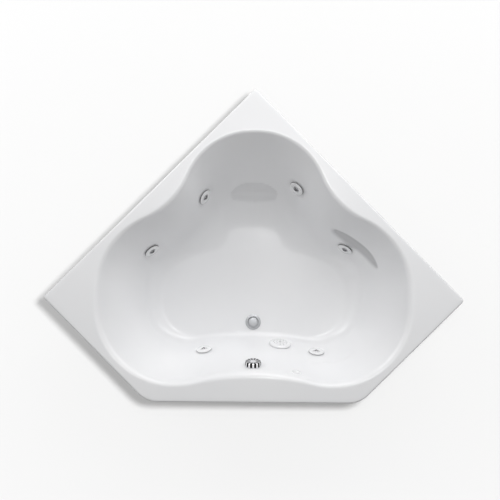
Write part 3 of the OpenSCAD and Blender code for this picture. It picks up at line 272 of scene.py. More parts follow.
def nozzleFinish(number, spot):
    # glossy plastic with painted light: a pale lit copy on the two front jets and a dim shaded copy on the others,
    # and painted shade in and round the three openings round the nozzle's axis; lengths are metres
    look = {"front": (1, 6), "pale": (0.74, 0.82), "dim": (0.34, 0.42), "blue": 0.01, "inside": (0.010, 0.010, 0.011),
            "openings": (0, 120, 240), "out": 0.006, "radius": 0.0050, "soft": 0.7, "patch": 60, "smear": 80,
            "spread": 0.14, "rough": 0.14, "depth": gloss["depth"], "bump": 0.6}
    f = Finish(f"nozzlePlastic_{number}", **glossCoat)
    place, centre = [f.part(axis) for axis in range(3)], wallPoint(spot) * toMetres
    u, v = (sum(s * float(d) for s, d in zip(place, way)) - float(centre @ way) for way in wallAxes(spot)[:2])
    nearest = None
    for turn in look["openings"]:
        du = u - look["out"] * math.cos(math.radians(turn))
        dv = v - look["out"] * math.sin(math.radians(turn))
        square = du * du + dv * dv
        nearest = square if nearest is None else nearest.join("MINIMUM", square)
    # painted shade: dark within a radius round each opening's centre
    clear = nearest.between(look["radius"] ** 2 * look["soft"], look["radius"] ** 2)
    # painted light: the paler, lit copy goes to the front jets and the dimmer, shaded copy to the rest
    tones = look["pale" if number in look["front"] else "dim"]
    low, high = ((tone, tone, tone + look["blue"]) for tone in tones)
    color = f.blend(clear, look["inside"], f.blend(f.cloud(look["patch"]), low, high))
    f.made(look, color, f.cloud(look["smear"]) * look["spread"], f.noise(gloss["grain"], 3, 0.6))


def hoseFinish():
    # clear hose with a woven reinforcement: threads wind both ways along the piece's own map
    look = {"clear": (0.66, 0.70, 0.71), "thread": (0.90, 0.92, 0.92), "pitch": 520, "starts": 8,
            "edge": (0.86, 0.97), "rough": 0.16, "smear": 0.12, "smearScale": 60, "depth": 0.0004, "bump": 0.5}
    f = Finish("clearHose", IOR=1.5, Coat_Weight=0.3, Coat_Roughness=0.1)
    along = f.part(0, "UV") * look["pitch"]
    around = f.part(1, "UV") * (2 * math.pi * look["starts"])
    threads = (along + around).sine().between(*look["edge"]) + (along - around).sine().between(*look["edge"])
    color = f.blend(threads.between(), look["clear"], look["thread"])
    f.made(look, color, f.noise(look["smearScale"]) * look["smear"], threads)


def ribbedHoseFinish():
    # black hose with ribs across its run
    look = {"low": (0.035, 0.036, 0.04), "high": (0.07, 0.07, 0.075), "pitch": 1900, "patch": 30, "rough": 0.42,
            "smear": 0.15, "smearScale": 80, "depth": 0.0006, "bump": 0.6}
    f = Finish("blackHose", Specular_IOR_Level=0.35)
    color = f.blend(f.noise(look["patch"]), look["low"], look["high"])
    ribs = (f.part(0, "UV") * look["pitch"]).wave()
    f.made(look, color, f.noise(look["smearScale"]) * look["smear"], ribs)


def motorFinish():
    # paint over a cast skin
    look = {"low": (0.060, 0.085, 0.115), "high": (0.085, 0.115, 0.150), "patch": 14, "cast": 260, "rough": 0.34,
            "spread": 0.16, "depth": 0.00025, "bump": 0.6}
    f = Finish("motorPaint", Coat_Weight=0.15, Coat_Roughness=0.3)
    cast = f.noise(look["cast"], 3, 0.6)
    f.made(look, f.blend(f.noise(look["patch"], 4), look["low"], look["high"]), cast * look["spread"], cast)


for make in (acrylicFinish, backingFinish, plywoodFinish, softwoodFinish, knobFinish, hoseFinish, ribbedHoseFinish,
             motorFinish):
    make()
# lower and higher tone, roughness, scale of the grain and its depth in metres
speckledFinish("rubber", (0.018, 0.018, 0.019), (0.036, 0.036, 0.037), 0.62, 700, 0.0002)
speckledFinish("blackPlastic", (0.022, 0.022, 0.024), (0.045, 0.045, 0.048), 0.42, 900, 0.00015)
speckledFinish("greyPlastic", (0.42, 0.43, 0.44), (0.52, 0.53, 0.54), 0.38, 800, 0.0001)
speckledFinish("pipePlastic", (0.74, 0.74, 0.72), (0.82, 0.82, 0.80), 0.30, 500, 0.00008)
speckledFinish("glossPlastic", *gloss.values(), **glossCoat)
# the rings' finish lays a painted shade line round their foot
speckledFinish("ringPlastic", *gloss.values(), "seal", **glossCoat)
# lower and higher tone, roughness and its spread, how the marks are drawn out and their depth in metres
metalFinish("chrome", (0.70, 0.71, 0.73), (0.80, 0.80, 0.82), 0.06, 0.06, (1, 1, 1), 0.00001)
metalFinish("drainChrome", (0.36, 0.37, 0.38), (0.45, 0.455, 0.47), 0.36, 0.12, (1, 1, 1), 0.00003)
metalFinish("turnedSteel", (0.46, 0.46, 0.47), (0.60, 0.60, 0.61), 0.22, 0.16, (1, 1, 14), 0.00005)
metalFinish("zincPlate", (0.42, 0.43, 0.44), (0.62, 0.62, 0.60), 0.34, 0.2, (1, 1, 5), 0.00008)
print("finishes made:", len(finishes))


# Mesh tools
def added(name, data):
    # an object in the scene
    made = bpy.data.objects.new(name, data)
    bpy.context.scene.collection.objects.link(made)
    return made


def addPiece(name, points, faces, finish, node, sharp, uv=None, second=None, isSecond=None):
    # a mesh from whole arrays, in millimetres; a second finish goes to the faces that isSecond marks with 1
    mesh = bpy.data.meshes.new(name)
    mesh.from_pydata((np.asarray(points) * toMetres).tolist(), [], [list(face) for face in faces])
    mesh.materials.append(finishes[finish])
    if second:
        mesh.materials.append(finishes[second])
        mesh.polygons.foreach_set("material_index", np.asarray(isSecond, np.int32))
    if uv is not None:
        layer = mesh.uv_layers.new(name="run")
        corner = np.zeros(len(mesh.loops), np.int32)
        mesh.loops.foreach_get("vertex_index", corner)
        layer.data.foreach_set("uv", np.asarray(uv, np.float32)[corner].ravel())
    return placePiece(name, mesh, node, sharp)


def placePiece(name, mesh, node, sharp):
    # the piece stands for its node and rides on that node's body
    mesh.polygons.foreach_set("use_smooth", np.ones(len(mesh.polygons), bool))
    mesh.update()
    mesh.set_sharp_from_angle(angle=math.radians(sharp))
    piece = added(name, mesh)
    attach(piece, bodyOf[node])
    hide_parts(node)
    return piece


def gridFaces(rows, cols, start=0, flip=False):
    # quads of a rows x cols grid that closes round its columns
    i, j = np.meshgrid(np.arange(rows - 1), np.arange(cols), indexing="ij")
    k = (j + 1) % cols
    quads = np.stack([i * cols + j, i * cols + k, (i + 1) * cols + k, (i + 1) * cols + j], -1).reshape(-1, 4) + start
    return quads[:, ::-1] if flip else quads


def turned(profile, sides, axes, spot, closed=False, scallop=None):
    # a profile of (radius, height) turned round the third axis, less the scallop at each height and angle. Radius 0
    # closes an end to a pole, and in a closed one the last ring joins the first.
    profile = np.asarray(profile, float)
    angle = np.linspace(0, 2 * math.pi, sides, endpoint=False)
    radius = profile[:, :1] * np.ones((1, sides))
    if scallop is not None:
        radius = radius - scallop(profile[:, 1:2], angle[None, :]) * (profile[:, :1] > 0)
    local = np.stack([radius * np.cos(angle), radius * np.sin(angle), profile[:, 1:2] * np.ones((1, sides))], -1)
    points = local.reshape(-1, 3) @ np.asarray(axes) + np.asarray(spot)
    return points, gridFaces(len(profile) + closed, sides) % len(points)


def swept(path, radius, bore, sides):
    # a tube: rings square to the path, carried along it without twist, with a bore and closed ends
    path = np.asarray(path, float)
    ahead = np.gradient(path, axis=0)
    ahead /= np.linalg.norm(ahead, axis=1)[:, None]
    # the first ring starts from upright, or from x where the path itself is nearly upright
    side = np.cross(ahead[0], [0.0, 0.0, 1.0] if abs(ahead[0][2]) < 0.8 else [1.0, 0.0, 0.0])
    sideways = []
    for way in ahead:
        side = side - way * (side @ way)
        side = side / np.linalg.norm(side)
        sideways.append(side)
    sideways = np.array(sideways)
    upward = np.cross(ahead, sideways)
    angle = np.linspace(0, 2 * math.pi, sides, endpoint=False)
    ring = np.cos(angle)[None, :, None] * sideways[:, None] + np.sin(angle)[None, :, None] * upward[:, None]
    count = len(path)
    points = np.concatenate([(path[:, None] + r * ring).reshape(-1, 3) for r in (radius, bore)])
    inner, last = count * sides, (count - 1) * sides
    j = np.arange(sides)
    k = (j + 1) % sides
    faces = [gridFaces(count, sides), gridFaces(count, sides, inner, True),
             np.stack([j, j + inner, k + inner, k], -1),
             np.stack([j + last, k + last, k + last + inner, j + last + inner], -1)]
    # the map: metres along the path, and turns round it
    run = np.concatenate([[0], np.cumsum(np.linalg.norm(np.diff(path, axis=0), axis=1))]) * toMetres
    flat = np.stack([np.repeat(run, sides), np.tile(j / sides, count)], -1)
    return points, np.concatenate(faces), np.concatenate([flat, flat])


def joined(parts):
    # several (points, faces, uv) sets as one
    points, faces, maps = zip(*parts)
    starts = np.cumsum([0, *(len(p) for p in points[:-1])])
    faces = [quads + start for quads, start in zip(faces, starts)]
    return np.concatenate(points), np.concatenate(faces), np.concatenate(maps)


# Rim and basin: the sizes and outlines are part.scad's, with a rounder roll and cove
rim = {"wallSide": 1372, "returnSide": 675, "deckHeight": 508, "lipDrop": 44, "thickness": 8,
       "edgeRadius": 9, "cornerRadius": 14, "frontCorner": 130}
# an outline: the back lobe's x, y and radius, the side lobes' x, back y, front y and radius, and the radii of the
# hollow arcs beside the back lobe and across the front
basin = {"floorHeight": 75, "rollFront": 42, "rollBack": 24, "coveFront": 34, "coveBack": 210, "coveGrowth": 0.8,
         "top": (12, 206, 320, 362, -202, -276, 355, 362, 942),
         "bottom": (92, 64, 127, 318, -222, -282, 205, 400, 1805)}
half = math.sqrt(0.5)
sideX = rim["wallSide"] * half
frontX = sideX - rim["returnSide"] * half
depthY = sideX + rim["returnSide"] * half
apexY = (depthY + rim["cornerRadius"] * (math.sqrt(2) - 1)) / 2
sideY, frontY = apexY - sideX, apexY - depthY
hubY = -150.0  # the middle of the basin, from which bearings and distances are taken
wallHeight = rim["deckHeight"] - basin["floorHeight"]


def arc(x, y, r, first, last, steps):
    # the centre plus r times the cosine and sine of angles from first to last
    angle = np.radians(np.linspace(first, last, steps + 1))
    return np.stack([x + r * np.cos(angle), y + r * np.sin(angle)], -1)


def halfOutline(inset):
    # right half of the rim's outline, drawn in by inset, from the room corner round to the front: three arcs, with
    # straights between that are split evenly
    steps = {"roomCorner": 6, "wallSide": 90, "sideCorner": 10, "returnSide": 40, "frontCorner": 16, "front": 44}
    q = math.sqrt(2) * rim["cornerRadius"]
    small, large = rim["cornerRadius"] - inset, rim["frontCorner"]
    top = arc(0, apexY - q, small, 90, 45, steps["roomCorner"])
    side = arc(sideX - q, sideY, small, 45, -45, steps["sideCorner"])
    frontArcX = frontX - large * math.tan(math.radians(22.5))
    front = arc(frontArcX, frontY + large, large - inset, -45, -90, steps["frontCorner"])
    middle = np.array([[0, frontY + inset]])

    def line(a, b, count):
        return a + (b - a) * (np.arange(1, count + 1) / (count + 1))[:, None]
    return np.concatenate([top, line(top[-1], side[0], steps["wallSide"]), side,
                           line(side[-1], front[0], steps["returnSide"]), front,
                           line(front[-1], middle[0], steps["front"]), middle])


def wholeOutline(inset):
    # the right half, then its mirror image back to the room corner
    right = halfOutline(inset)
    return np.concatenate([right, right[-2:0:-1] * [-1, 1]])


def lobedTable(shape, steps):
    # bearing and distance of a three-lobed outline made of tangent arcs, seen from the basin's middle: a hollow arc
    # touches two lobes where its centre is its own radius plus theirs away from each
    # (nx, ny) and (0, cf) are the hollow arcs' centres
    xa, ya, ra, xs, yb, yf, rs, rn, rf = shape
    gap = math.hypot(xs - xa, yb - ya)
    ux, uy = (xs - xa) / gap, (yb - ya) / gap
    along = ((ra + rn) ** 2 - (rs + rn) ** 2 + gap * gap) / (2 * gap)
    off = math.sqrt((ra + rn) ** 2 - along * along)
    nx, ny = xa + along * ux - off * uy, ya + along * uy + off * ux
    a1 = math.degrees(math.atan2(ny - ya, nx - xa))
    b1 = math.degrees(math.atan2(ny - yb, nx - xs))
    cf = yf - math.sqrt((rs + rf) ** 2 - xs * xs)
    g = math.degrees(math.atan2(cf - yf, -xs))
    points = np.concatenate([[[0, ya + ra]], arc(xa, ya, ra, 90, a1, steps),
                             arc(nx, ny, rn, a1 + 180, b1 + 180, steps), arc(xs, yb, rs, b1, 0, steps),
                             arc(xs, yf, rs, 0, g, steps), arc(0, cf, rf, g + 180, 90, steps)])
    bearing = np.degrees(np.arctan2(points[:, 1] - hubY, points[:, 0]))
    order = np.argsort(bearing)
    return bearing[order], np.hypot(points[:, 0], points[:, 1] - hubY)[order]


# the CAD model's own table, on which the fittings sit, and a finer one for the skin
coarse, fine = ({end: lobedTable(basin[end], steps) for end in ("top", "bottom")} for steps in (16, 160))


def fold(bearing):
    # the bearing of the mirror image on the right half, where the tables are
    return np.where(bearing > 90, 180 - bearing, np.where(bearing < -90, -180 - bearing, bearing))


def distance(table, bearing):
    # the table's distance at a bearing, straight between its rows
    return np.interp(fold(bearing), *table)


def reach(bearing, z):
    # the wall's distance from the middle at a height, on the CAD model's own table
    top, bottom = distance(coarse["top"], bearing), distance(coarse["bottom"], bearing)
    return top + (bottom - top) * (rim["deckHeight"] - z) / wallHeight


def ray(bearing, r, z):
    # r along the bearing from the basin's middle, at a height
    angle = math.radians(bearing)
    return np.array([r * math.cos(angle), hubY + r * math.sin(angle), z], float)


def wallPoint(spot):
    # a place on the wall, from its bearing and height
    return ray(spot[0], float(reach(spot[0], spot[1])), spot[1])


def wallAxes(spot):
    # down the wall, level along it, and out of it into the basin
    rise = wallPoint((spot[0], spot[1] + 1)) - wallPoint((spot[0], spot[1] - 1))
    across = wallPoint((spot[0] + 0.5, spot[1])) - wallPoint((spot[0] - 0.5, spot[1]))
    n = np.cross(rise, across)
    n /= np.linalg.norm(n)
    down = np.array([n[0] * n[2], n[1] * n[2], n[2] * n[2] - 1])
    level = np.array([-n[1], n[0], 0])
    return np.array([down / np.linalg.norm(down), level / np.linalg.norm(level), n])


def local(spot, v):
    # a place given by its distances down the wall, level along it and out of it
    return wallPoint(spot) + np.asarray(v, float) @ wallAxes(spot)


jets = [(-50, 200), (17.5, 204), (64.5, 284), (122, 284), (166, 236), (236.5, 200)]
overflowAt, suctionAt, buttonAt = (-90, 438), (-68.5, 163), (-65, 452)
drainAt = np.array([0, -388.0, basin["floorHeight"]])

# fitting: place, bore through the wall, flange under it, and the flat pad moulded round it
fittings = [(spot, 24.8, 33, 41) for spot in jets] + [(overflowAt, 24.8, 34, 39), (suctionAt, 29.8, 50, 56),
                                                      (buttonAt, 18.4, 23, 24)]

# rests pressed into the wall: bearing, half width, end heights as shares of the depth, how far the upper edge
# rises above and the lower edge drops below the line between them, depth, length of the lower ledge, how the depth
# grows, strength of the painted shade with its rougher grain, and the length over which they set in
rests = [
    {"at": 90.2, "half": 16.5, "ends": (0.80, 0.80), "rise": 0.175, "drop": 0.07, "deep": 13, "ledge": 0.03,
     "curve": 1.0, "grip": 0.16, "edge": 0.012},
    {"at": 18.0, "half": 13.8, "ends": (0.482, 0.473), "rise": 0.07, "drop": 0.125, "deep": 13, "ledge": 0.03,
     "curve": 0.9, "grip": 0.58, "edge": 0.045},
    {"at": -47.0, "half": 11.0, "ends": (0.44, 0.50), "rise": 0.02, "drop": 0.035, "deep": 4, "ledge": 0.08,
     "curve": 0.6, "grip": 0.0, "edge": 0.012},
]
# how steeply a rest's ends go in, how strong the painted shade and its rougher grain are at the upper edge, and how
# much they fade lower down
restSkin = {"ends": 2.2, "gripAndShadeTop": 1.2, "gripAndShadeFade": 0.3}


def smooth(t):
    # 0 to 1 with level ends: 3 t^2 - 2 t^3
    t = np.clip(t, 0, 1)
    return t * t * (3 - 2 * t)


def pressed(bearing, share):
    # outward depth of the rests, and their painted shade with a rougher grain: the depth grows from the upper edge
    # down and ends in a ledge below the lower edge, and the painted shade starts at the upper edge, where it is
    # darkest
    shape = np.broadcast(bearing, share).shape
    depth, grip = np.zeros(shape), np.zeros(shape)
    for rest in rests:
        x = np.clip((bearing - rest["at"]) / rest["half"], -1, 1)
        span = np.sqrt(1 - x * x)
        chord = rest["ends"][0] + (rest["ends"][1] - rest["ends"][0]) * (x + 1) / 2
        upper, lower = chord - rest["rise"] * span, chord + rest["drop"] * span
        t = np.clip((share - upper) / np.maximum(lower - upper, 1e-6), 0, 1)
        inside = smooth(span * restSkin["ends"]) * (1 - smooth((share - lower) / rest["ledge"]))
        depth = depth + rest["deep"] * inside * t ** rest["curve"]
        # painted shade, with the rougher grain: strongest at the upper edge, fading lower down
        fade = restSkin["gripAndShadeTop"] - restSkin["gripAndShadeFade"] * smooth(t * 2)
        grip = grip + rest["grip"] * inside * smooth((share - upper) / rest["edge"]) * fade
    return depth, grip


# rows of the skin's grid: its deck, roll, wall, cove and floor, and the share of the floor left to the closing fan
skinRows = {"deck": 8, "roll": 12, "wall": 44, "cove": 18, "floor": 12, "fan": 0.02}


def shellSkin():
    # upper skin, ring by ring: lip, rounded edge, flat deck, roll, wall, cove and floor
    r, top, lip = rim["edgeRadius"], rim["deckHeight"], rim["deckHeight"] - rim["lipDrop"]
    # inset and height: the lip's foot, a ring part-way up, and where the rounded edge starts and runs on
    rings = [(0, lip), (0, top - rim["lipDrop"] * 0.6), (0, top - r)]
    rings += [(r * (1 - math.cos(a)), top - r + r * math.sin(a)) for a in np.radians(range(18, 91, 18))]
    outline = np.array([np.column_stack([wholeOutline(d), np.full(len(wholeOutline(d)), z)]) for d, z in rings])
    edge = outline[0][:, :2]
    bearing = np.degrees(np.arctan2(edge[:, 1] - hubY, edge[:, 0]))
    # from the front's -90 all the way round to 270
    bearing = np.where(bearing < -90.001, bearing + 360, bearing)
    near, far = distance(fine["bottom"], bearing), distance(fine["top"], bearing)
    slope = np.degrees(np.arctan2(wallHeight, far - near))
    # roll and cove change from the front to the back, in step with the sine of the bearing
    back = (1 + np.sin(np.radians(fold(bearing)))) / 2
    turnIn = basin["rollFront"] + (basin["rollBack"] - basin["rollFront"]) * back
    cove = basin["coveFront"] + (basin["coveBack"] - basin["coveFront"]) * back ** basin["coveGrowth"]
    t1, t2 = turnIn * np.tan(np.radians(slope / 2)), cove * np.tan(np.radians(slope / 2))
    s = np.linspace(0, 1, skinRows["roll"])[:, None]
    turn = np.radians(90 + slope * s)
    roll = np.stack([far + t1 + turnIn * np.cos(turn), top - turnIn + turnIn * np.sin(turn)], -1)
    s = np.linspace(0, 1, skinRows["cove"])[:, None]
    turn = np.radians(slope - 90 - slope * s)
    foot = np.stack([near - t2 + cove * np.cos(turn), basin["floorHeight"] + cove + cove * np.sin(turn)], -1)
    s = np.linspace(0, 1, skinRows["wall"])[1:-1, None, None]
    wall = roll[-1] + (foot[0] - roll[-1]) * s
    wall[..., 0] += pressed(bearing[None, :], (top - wall[..., 1]) / wallHeight)[0]
    s = np.linspace(1, skinRows["fan"], skinRows["floor"])[1:, None]
    floor = np.stack([foot[-1][:, 0] * s, np.full((len(s), len(bearing)), float(basin["floorHeight"]))], -1)
    section = np.concatenate([roll, wall, foot, floor])
    angle = np.radians(bearing)
    inside = np.stack([section[..., 0] * np.cos(angle), hubY + section[..., 0] * np.sin(angle), section[..., 1]], -1)
    s = np.linspace(0, 1, skinRows["deck"])[1:-1, None, None]
    deck = outline[-1] + (inside[0] - outline[-1]) * s
    return np.concatenate([outline, deck, inside])


def skinNormals(skin):
    # direction from the upper skin into the material: across times along, each taken between two neighbours
    across = np.roll(skin, -1, 1) - np.roll(skin, 1, 1)
    along = np.concatenate([skin[1:2] - skin[:1], skin[2:] - skin[:-2], skin[-1:] - skin[-2:-1]])
    n = np.cross(across, along)
    return n / np.maximum(np.linalg.norm(n, axis=-1), 1e-9)[..., None]


# the flat pads behind the fittings: width of their fade, how far off their plane the skin still counts, and how much
# lower and narrower they are on the back of the shell
padding = {"fade": 24, "reach": 40, "low": 5.0, "narrow": 2}
# clearance round and under a flange, how far a cutter reaches to the back and the front, and the drain's radius
holes = {"clearance": 1, "behind": 40, "before": 30, "drain": 22.3, "sides": 96}


def flattened(skin, level, grow):
    # round each fitting the skin is drawn to a plane at its own level, and fades back to the wall
    for spot, _, _, pad in fittings:
        n = wallAxes(spot)[2]
        rel = skin - wallPoint(spot)
        height = rel @ n
        across = np.linalg.norm(rel - height[..., None] * n, axis=-1)
        weight = (1 - smooth((across - pad - grow) / padding["fade"])) * (np.abs(height) < padding["reach"])
        skin = skin + ((level - height) * weight)[..., None] * n
    return skin


def cut(piece, tool):
    # the tool's form taken out of the piece's mesh
    modifier = piece.modifiers.new("cut", "BOOLEAN")
    modifier.operation, modifier.solver, modifier.object = "DIFFERENCE", "MANIFOLD", tool
    shaped = bpy.data.meshes.new_from_object(piece.evaluated_get(bpy.context.evaluated_depsgraph_get()))
    piece.modifiers.clear()
    old = piece.data
    piece.data = shaped
    shaped.name = old.name
    bpy.data.meshes.remove(old)
    bpy.data.objects.remove(tool)


def paint(piece, name, values):
    # a value for each point of the mesh, which its finish reads
    layer = piece.data.attributes.new(name, "FLOAT", "POINT")
    layer.data.foreach_set("value", np.asarray(values, np.float32))


def holeCutter():
    # one tool of turned plugs: a bore and a flange's seat for each fitting, and the drain
    inner, outer, gap = -holes["behind"], holes["before"], holes["clearance"]
    plugs = []
    for spot, bore, flange, _ in fittings:
        profile = [(0, inner), (bore, inner), (bore, -gap), (flange + gap, -gap), (flange + gap, outer), (0, outer)]
        plugs.append(turned(profile, holes["sides"], wallAxes(spot), wallPoint(spot)))
    profile = [(0, -outer), (holes["drain"], -outer), (holes["drain"], outer), (0, outer)]
    plugs.append(turned(profile, holes["sides"], np.eye(3), drainAt))
    points, faces, _ = joined([(p, q, np.zeros((len(p), 2))) for p, q in plugs])
    mesh = bpy.data.meshes.new("boreTool")
    mesh.from_pydata((points * toMetres).tolist(), [], faces.tolist())
    work = bmesh.new()
    work.from_mesh(mesh)
    bmesh.ops.remove_doubles(work, verts=work.verts, dist=1e-6)
    bmesh.ops.recalc_face_normals(work, faces=work.faces)
    work.to_mesh(mesh)
    work.free()
    return added("boreTool", mesh)


def makeShell():
    # the upper skin, and a lower one a wall's thickness under it, joined at the lip and closed at the drain
    skin = shellSkin()
    under = skin + rim["thickness"] * skinNormals(skin)
    top, low = flattened(skin, 0.0, 0), flattened(under, -padding["low"], -padding["narrow"])
    rows, cols = top.shape[:2]
    hub = [[0, hubY, basin["floorHeight"]], [0, hubY, basin["floorHeight"] - rim["thickness"]]]
    points = np.concatenate([top.reshape(-1, 3), low.reshape(-1, 3), hub])
    shift = rows * cols
    j = np.arange(cols)
    k = (j + 1) % cols
    last = (rows - 1) * cols
    # upper skin, lower skin, lip, and the two fans round the drain; those on the back get the second finish
    groups = [gridFaces(rows, cols, 0, True), gridFaces(rows, cols, shift),
              np.stack([j, k, k + shift, j + shift], -1),
              np.stack([k + last, j + last, np.full(cols, 2 * shift)], -1),
              np.stack([j + last + shift, k + last + shift, np.full(cols, 2 * shift + 1)], -1)]
    faces = [face for group in groups for face in group.tolist()]
    back = np.repeat([0, 1, 0, 0, 1], [len(group) for group in groups])
    sharp = 40
    shell = addPiece("bathShell", points, faces, "acrylic", "tub_shell", sharp, None, "glassBacking", back)
    cut(shell, holeCutter())
    shell.data.set_sharp_from_angle(angle=math.radians(sharp))
    place = np.empty(len(shell.data.vertices) * 3, np.float32)
    shell.data.vertices.foreach_get("co", place)
    x, y, z = place.reshape(-1, 3).T / toMetres
    # the rests' painted shade, with their rougher grain, as a value at each point
    paint(shell, "grip", pressed(np.degrees(np.arctan2(y - hubY, x)), (rim["deckHeight"] - z) / wallHeight)[1])
    return shell


shell = makeShell()
print("shell made,", len(shell.data.polygons), "faces")


# The jets' turning rings
def makeJets():
    # a painted shade line runs round the foot of each ring, where it meets the wall, and is paler on the two at the
    # front
    ring = {"radius": 39, "base": 3.3, "seal": 3.6, "tone": (0.45, 1, 1, 1, 1, 0.45), "sides": 96, "sharp": 50}
    r, z = ring["radius"], ring["base"]
    profile = [(r - 1.0, z), (r - 0.3, z + 0.25), (r, z + 0.9), (r, z + 2.2), (r - 0.5, z + 3.5), (r - 1.6, z + 4.8),
               (r - 3.2, z + 5.9), (r - 5.2, z + 6.7), (r - 6.2, z + 6.6), (r - 6.9, z + 6.0), (r - 7.9, z + 6.1),
               (r - 9.2, z + 7.0), (r - 12, z + 7.7), (r - 15, z + 8.0), (r - 18, z + 7.6), (r - 20, z + 7.0),
               (17.6, z + 6.6), (16.4, z + 6.2), (15.9, z + 5.2), (15.1, z + 1.5), (15.1, z - 2.2),
               (14.6, z - 6.0), (11.0, z - 12.0), (11.0, -12.9), (20, -12.9), (20, z), (30, z)]
    for number, spot in enumerate(jets, 1):
        points, faces = turned(profile, ring["sides"], wallAxes(spot), wallPoint(spot), True)
        piece = addPiece(f"jetRing_{number}", points, faces, "ringPlastic", f"jet_ring_{number}", ring["sharp"])
        # strength of the painted shade band on the foot's outer side, up to the band's height; paler on the front
        # rings
        seal = [ring["tone"][number - 1] * (p[0] > r - 1.2 and p[1] < z + ring["seal"]) for p in profile]
        paint(piece, "seal", np.repeat(seal, ring["sides"]))


makeJets()
print("jet rings made")


# Overflow knob
def makeKnob():
    knob = {"radius": 37, "deep": 20, "base": 4.3, "flutes": 12, "cut": 2.0, "runOut": 7, "fade": 4, "sides": 192,
            "sharp": 45}
    r, d, z = knob["radius"], knob["deep"], knob["base"]

    def swing(angle):
        # 1 in the middle of each flute, -1 between them
        return np.cos(angle * knob["flutes"] + math.pi)

    def flutes(height, angle):
        # soft grooves along the rim that run out towards the face
        grooves = knob["cut"] * np.clip(swing(angle), 0, 1) ** 1.5
        return grooves * (1 - smooth((height - z - d + knob["runOut"]) / knob["fade"]))
    profile = [(r - 3.5, z), (r - 0.6, z), (r, z + 0.6), (r, z + 4), (r, z + 8), (r, z + d - 7), (r, z + d - 4),
               (r - 0.5, z + d - 2.2), (r - 1.2, z + d - 1.2), (r - 2.4, z + d - 0.4), (r - 4, z + d),
               (r * 0.75, z + d - 0.3), (r * 0.55, z + d - 0.8), (r * 0.25, z + d - 1.6), (1.0, z + d - 2),
               (1.0, z + d - 5), (r - 4.5, z + d - 5), (r - 3.5, z + d - 6)]
    points, faces = turned(profile, knob["sides"], wallAxes(overflowAt), wallPoint(overflowAt), True, flutes)
    piece = addPiece("overflowKnob", points, faces, "fluteChrome", "overflow_knob", knob["sharp"])
    angle = np.tile(np.linspace(0, 2 * math.pi, knob["sides"], endpoint=False), len(profile))
    # the painted dark reflections run over the rim and the face, and leave the middle of the face
    outside = [r * 0.3 < p[0] and (p[0] > r - 1.3 or p[1] > z + d - 2.5) for p in profile]
    paint(piece, "fluteReflection", (swing(angle) * 0.5 + 0.5) * np.repeat(outside, knob["sides"]))


makeKnob()
print("overflow knob made")


# Hoses and pipes along the CAD model's routes
def rounded(points, radius, steps=10):
    # each inner corner becomes a parabola between points set back along its two legs, by the radius or by nearly half
    # of a leg where that is shorter
    points = [np.asarray(p, float) for p in points]
    path = [points[0]]
    for before, here, after in zip(points, points[1:], points[2:]):
        u, v = before - here, after - here
        lu, lv = np.linalg.norm(u), np.linalg.norm(v)
        t = min(radius, 0.48 * lu, 0.48 * lv)
        s = np.linspace(0, 1, steps + 1)[:, None]
        path.extend(here + (1 - s) ** 2 * t * u / lu + s ** 2 * t * v / lv)
    path.append(points[-1])
    return path


def refined(path, step):
    # points every few millimetres along a path
    path = np.asarray(path, float)
    run = np.concatenate([[0], np.cumsum(np.linalg.norm(np.diff(path, axis=0), axis=1))])
    keep = np.concatenate([[True], np.diff(run) > 1e-6])
    where = np.linspace(0, run[-1], max(3, int(run[-1] / step)))
    return np.stack([np.interp(where, run[keep], path[keep, k]) for k in range(3)], -1)


pump = {"x": 700, "z": 137, "voluteY": -292, "voluteL": 58, "voluteR": 78, "motorR": 70, "stub": 34}
inletY = pump["voluteY"] - pump["voluteL"] - pump["stub"]
outletY = pump["voluteY"] - pump["voluteL"] / 2
outletTop = pump["z"] + pump["voluteR"] + pump["stub"]
tee = {"rise": 59, "half": 46, "overlap": 14, "leadIn": 60, "leadOut": 50}
teeAt = np.array([pump["x"], outletY, outletTop + tee["rise"]])
jetNeck = 24  # radius of a jet's body where the hoses push on
# hoses and pipes: radius, bore, radius of the bends, spacing of the rings and their sides; between the jets also x
# and z on a jet's body, how far off the wall and how much higher than the jets they run, and their straight ends
pipes = {
    "water": {"radius": 18.4, "bore": 14.7, "bend": 45, "step": 12, "sides": 28, "x": 0, "z": -50, "off": 72,
              "higher": 0, "straight": 80},
    "air": {"radius": 7.4, "bore": 5.6, "bend": 30, "step": 8, "sides": 20, "x": -25, "z": -72, "off": 96,
            "higher": 26, "straight": 70},
    "suction": {"radius": 23.8, "bore": 20.8, "bend": 60, "step": 12, "sides": 40},
    "button": {"radius": 6.2, "bore": 4.9, "bend": 30, "step": 8, "sides": 20},
    "lift": {"radius": 3.5, "bore": 1, "bend": 20, "step": 6, "sides": 16},
}


def lay(name, node, finish, pipe, routes):
    # a tube along each route, all in one piece
    points, faces, uv = joined([swept(refined(rounded(route, pipe["bend"]), pipe["step"]), pipe["radius"],
                                      pipe["bore"], pipe["sides"]) for route in routes])
    addPiece(name, points, faces, finish, node, sharp=60, uv=uv)


def leave(spot, way, hose, straight=80):
    # the straight start of a hose, from a jet's body to one side
    return [local(spot, (hose["x"], way * run, hose["z"])) for run in (jetNeck + 7, straight)]


def behind(bearing, z, off):
    # a point off the wall's outer side
    return ray(bearing, float(reach(bearing, z)) + off, z)


def hop(i, hose, clear=14, count=4):
    # from one jet to the next behind the wall, by way of evenly spaced points that stay clear of both
    (a, za), (b, zb) = jets[i], jets[i + 1]
    middle = []
    for k in range(count):
        g = a + clear + (b - a - 2 * clear) * k / (count - 1)
        middle.append(behind(g, za + hose["higher"] + (zb - za) * (g - a) / (b - a), hose["off"]))
    ends = leave(jets[i], -1, hose, hose["straight"]), leave(jets[i + 1], 1, hose, hose["straight"])
    return ends[0] + middle + ends[1][::-1]


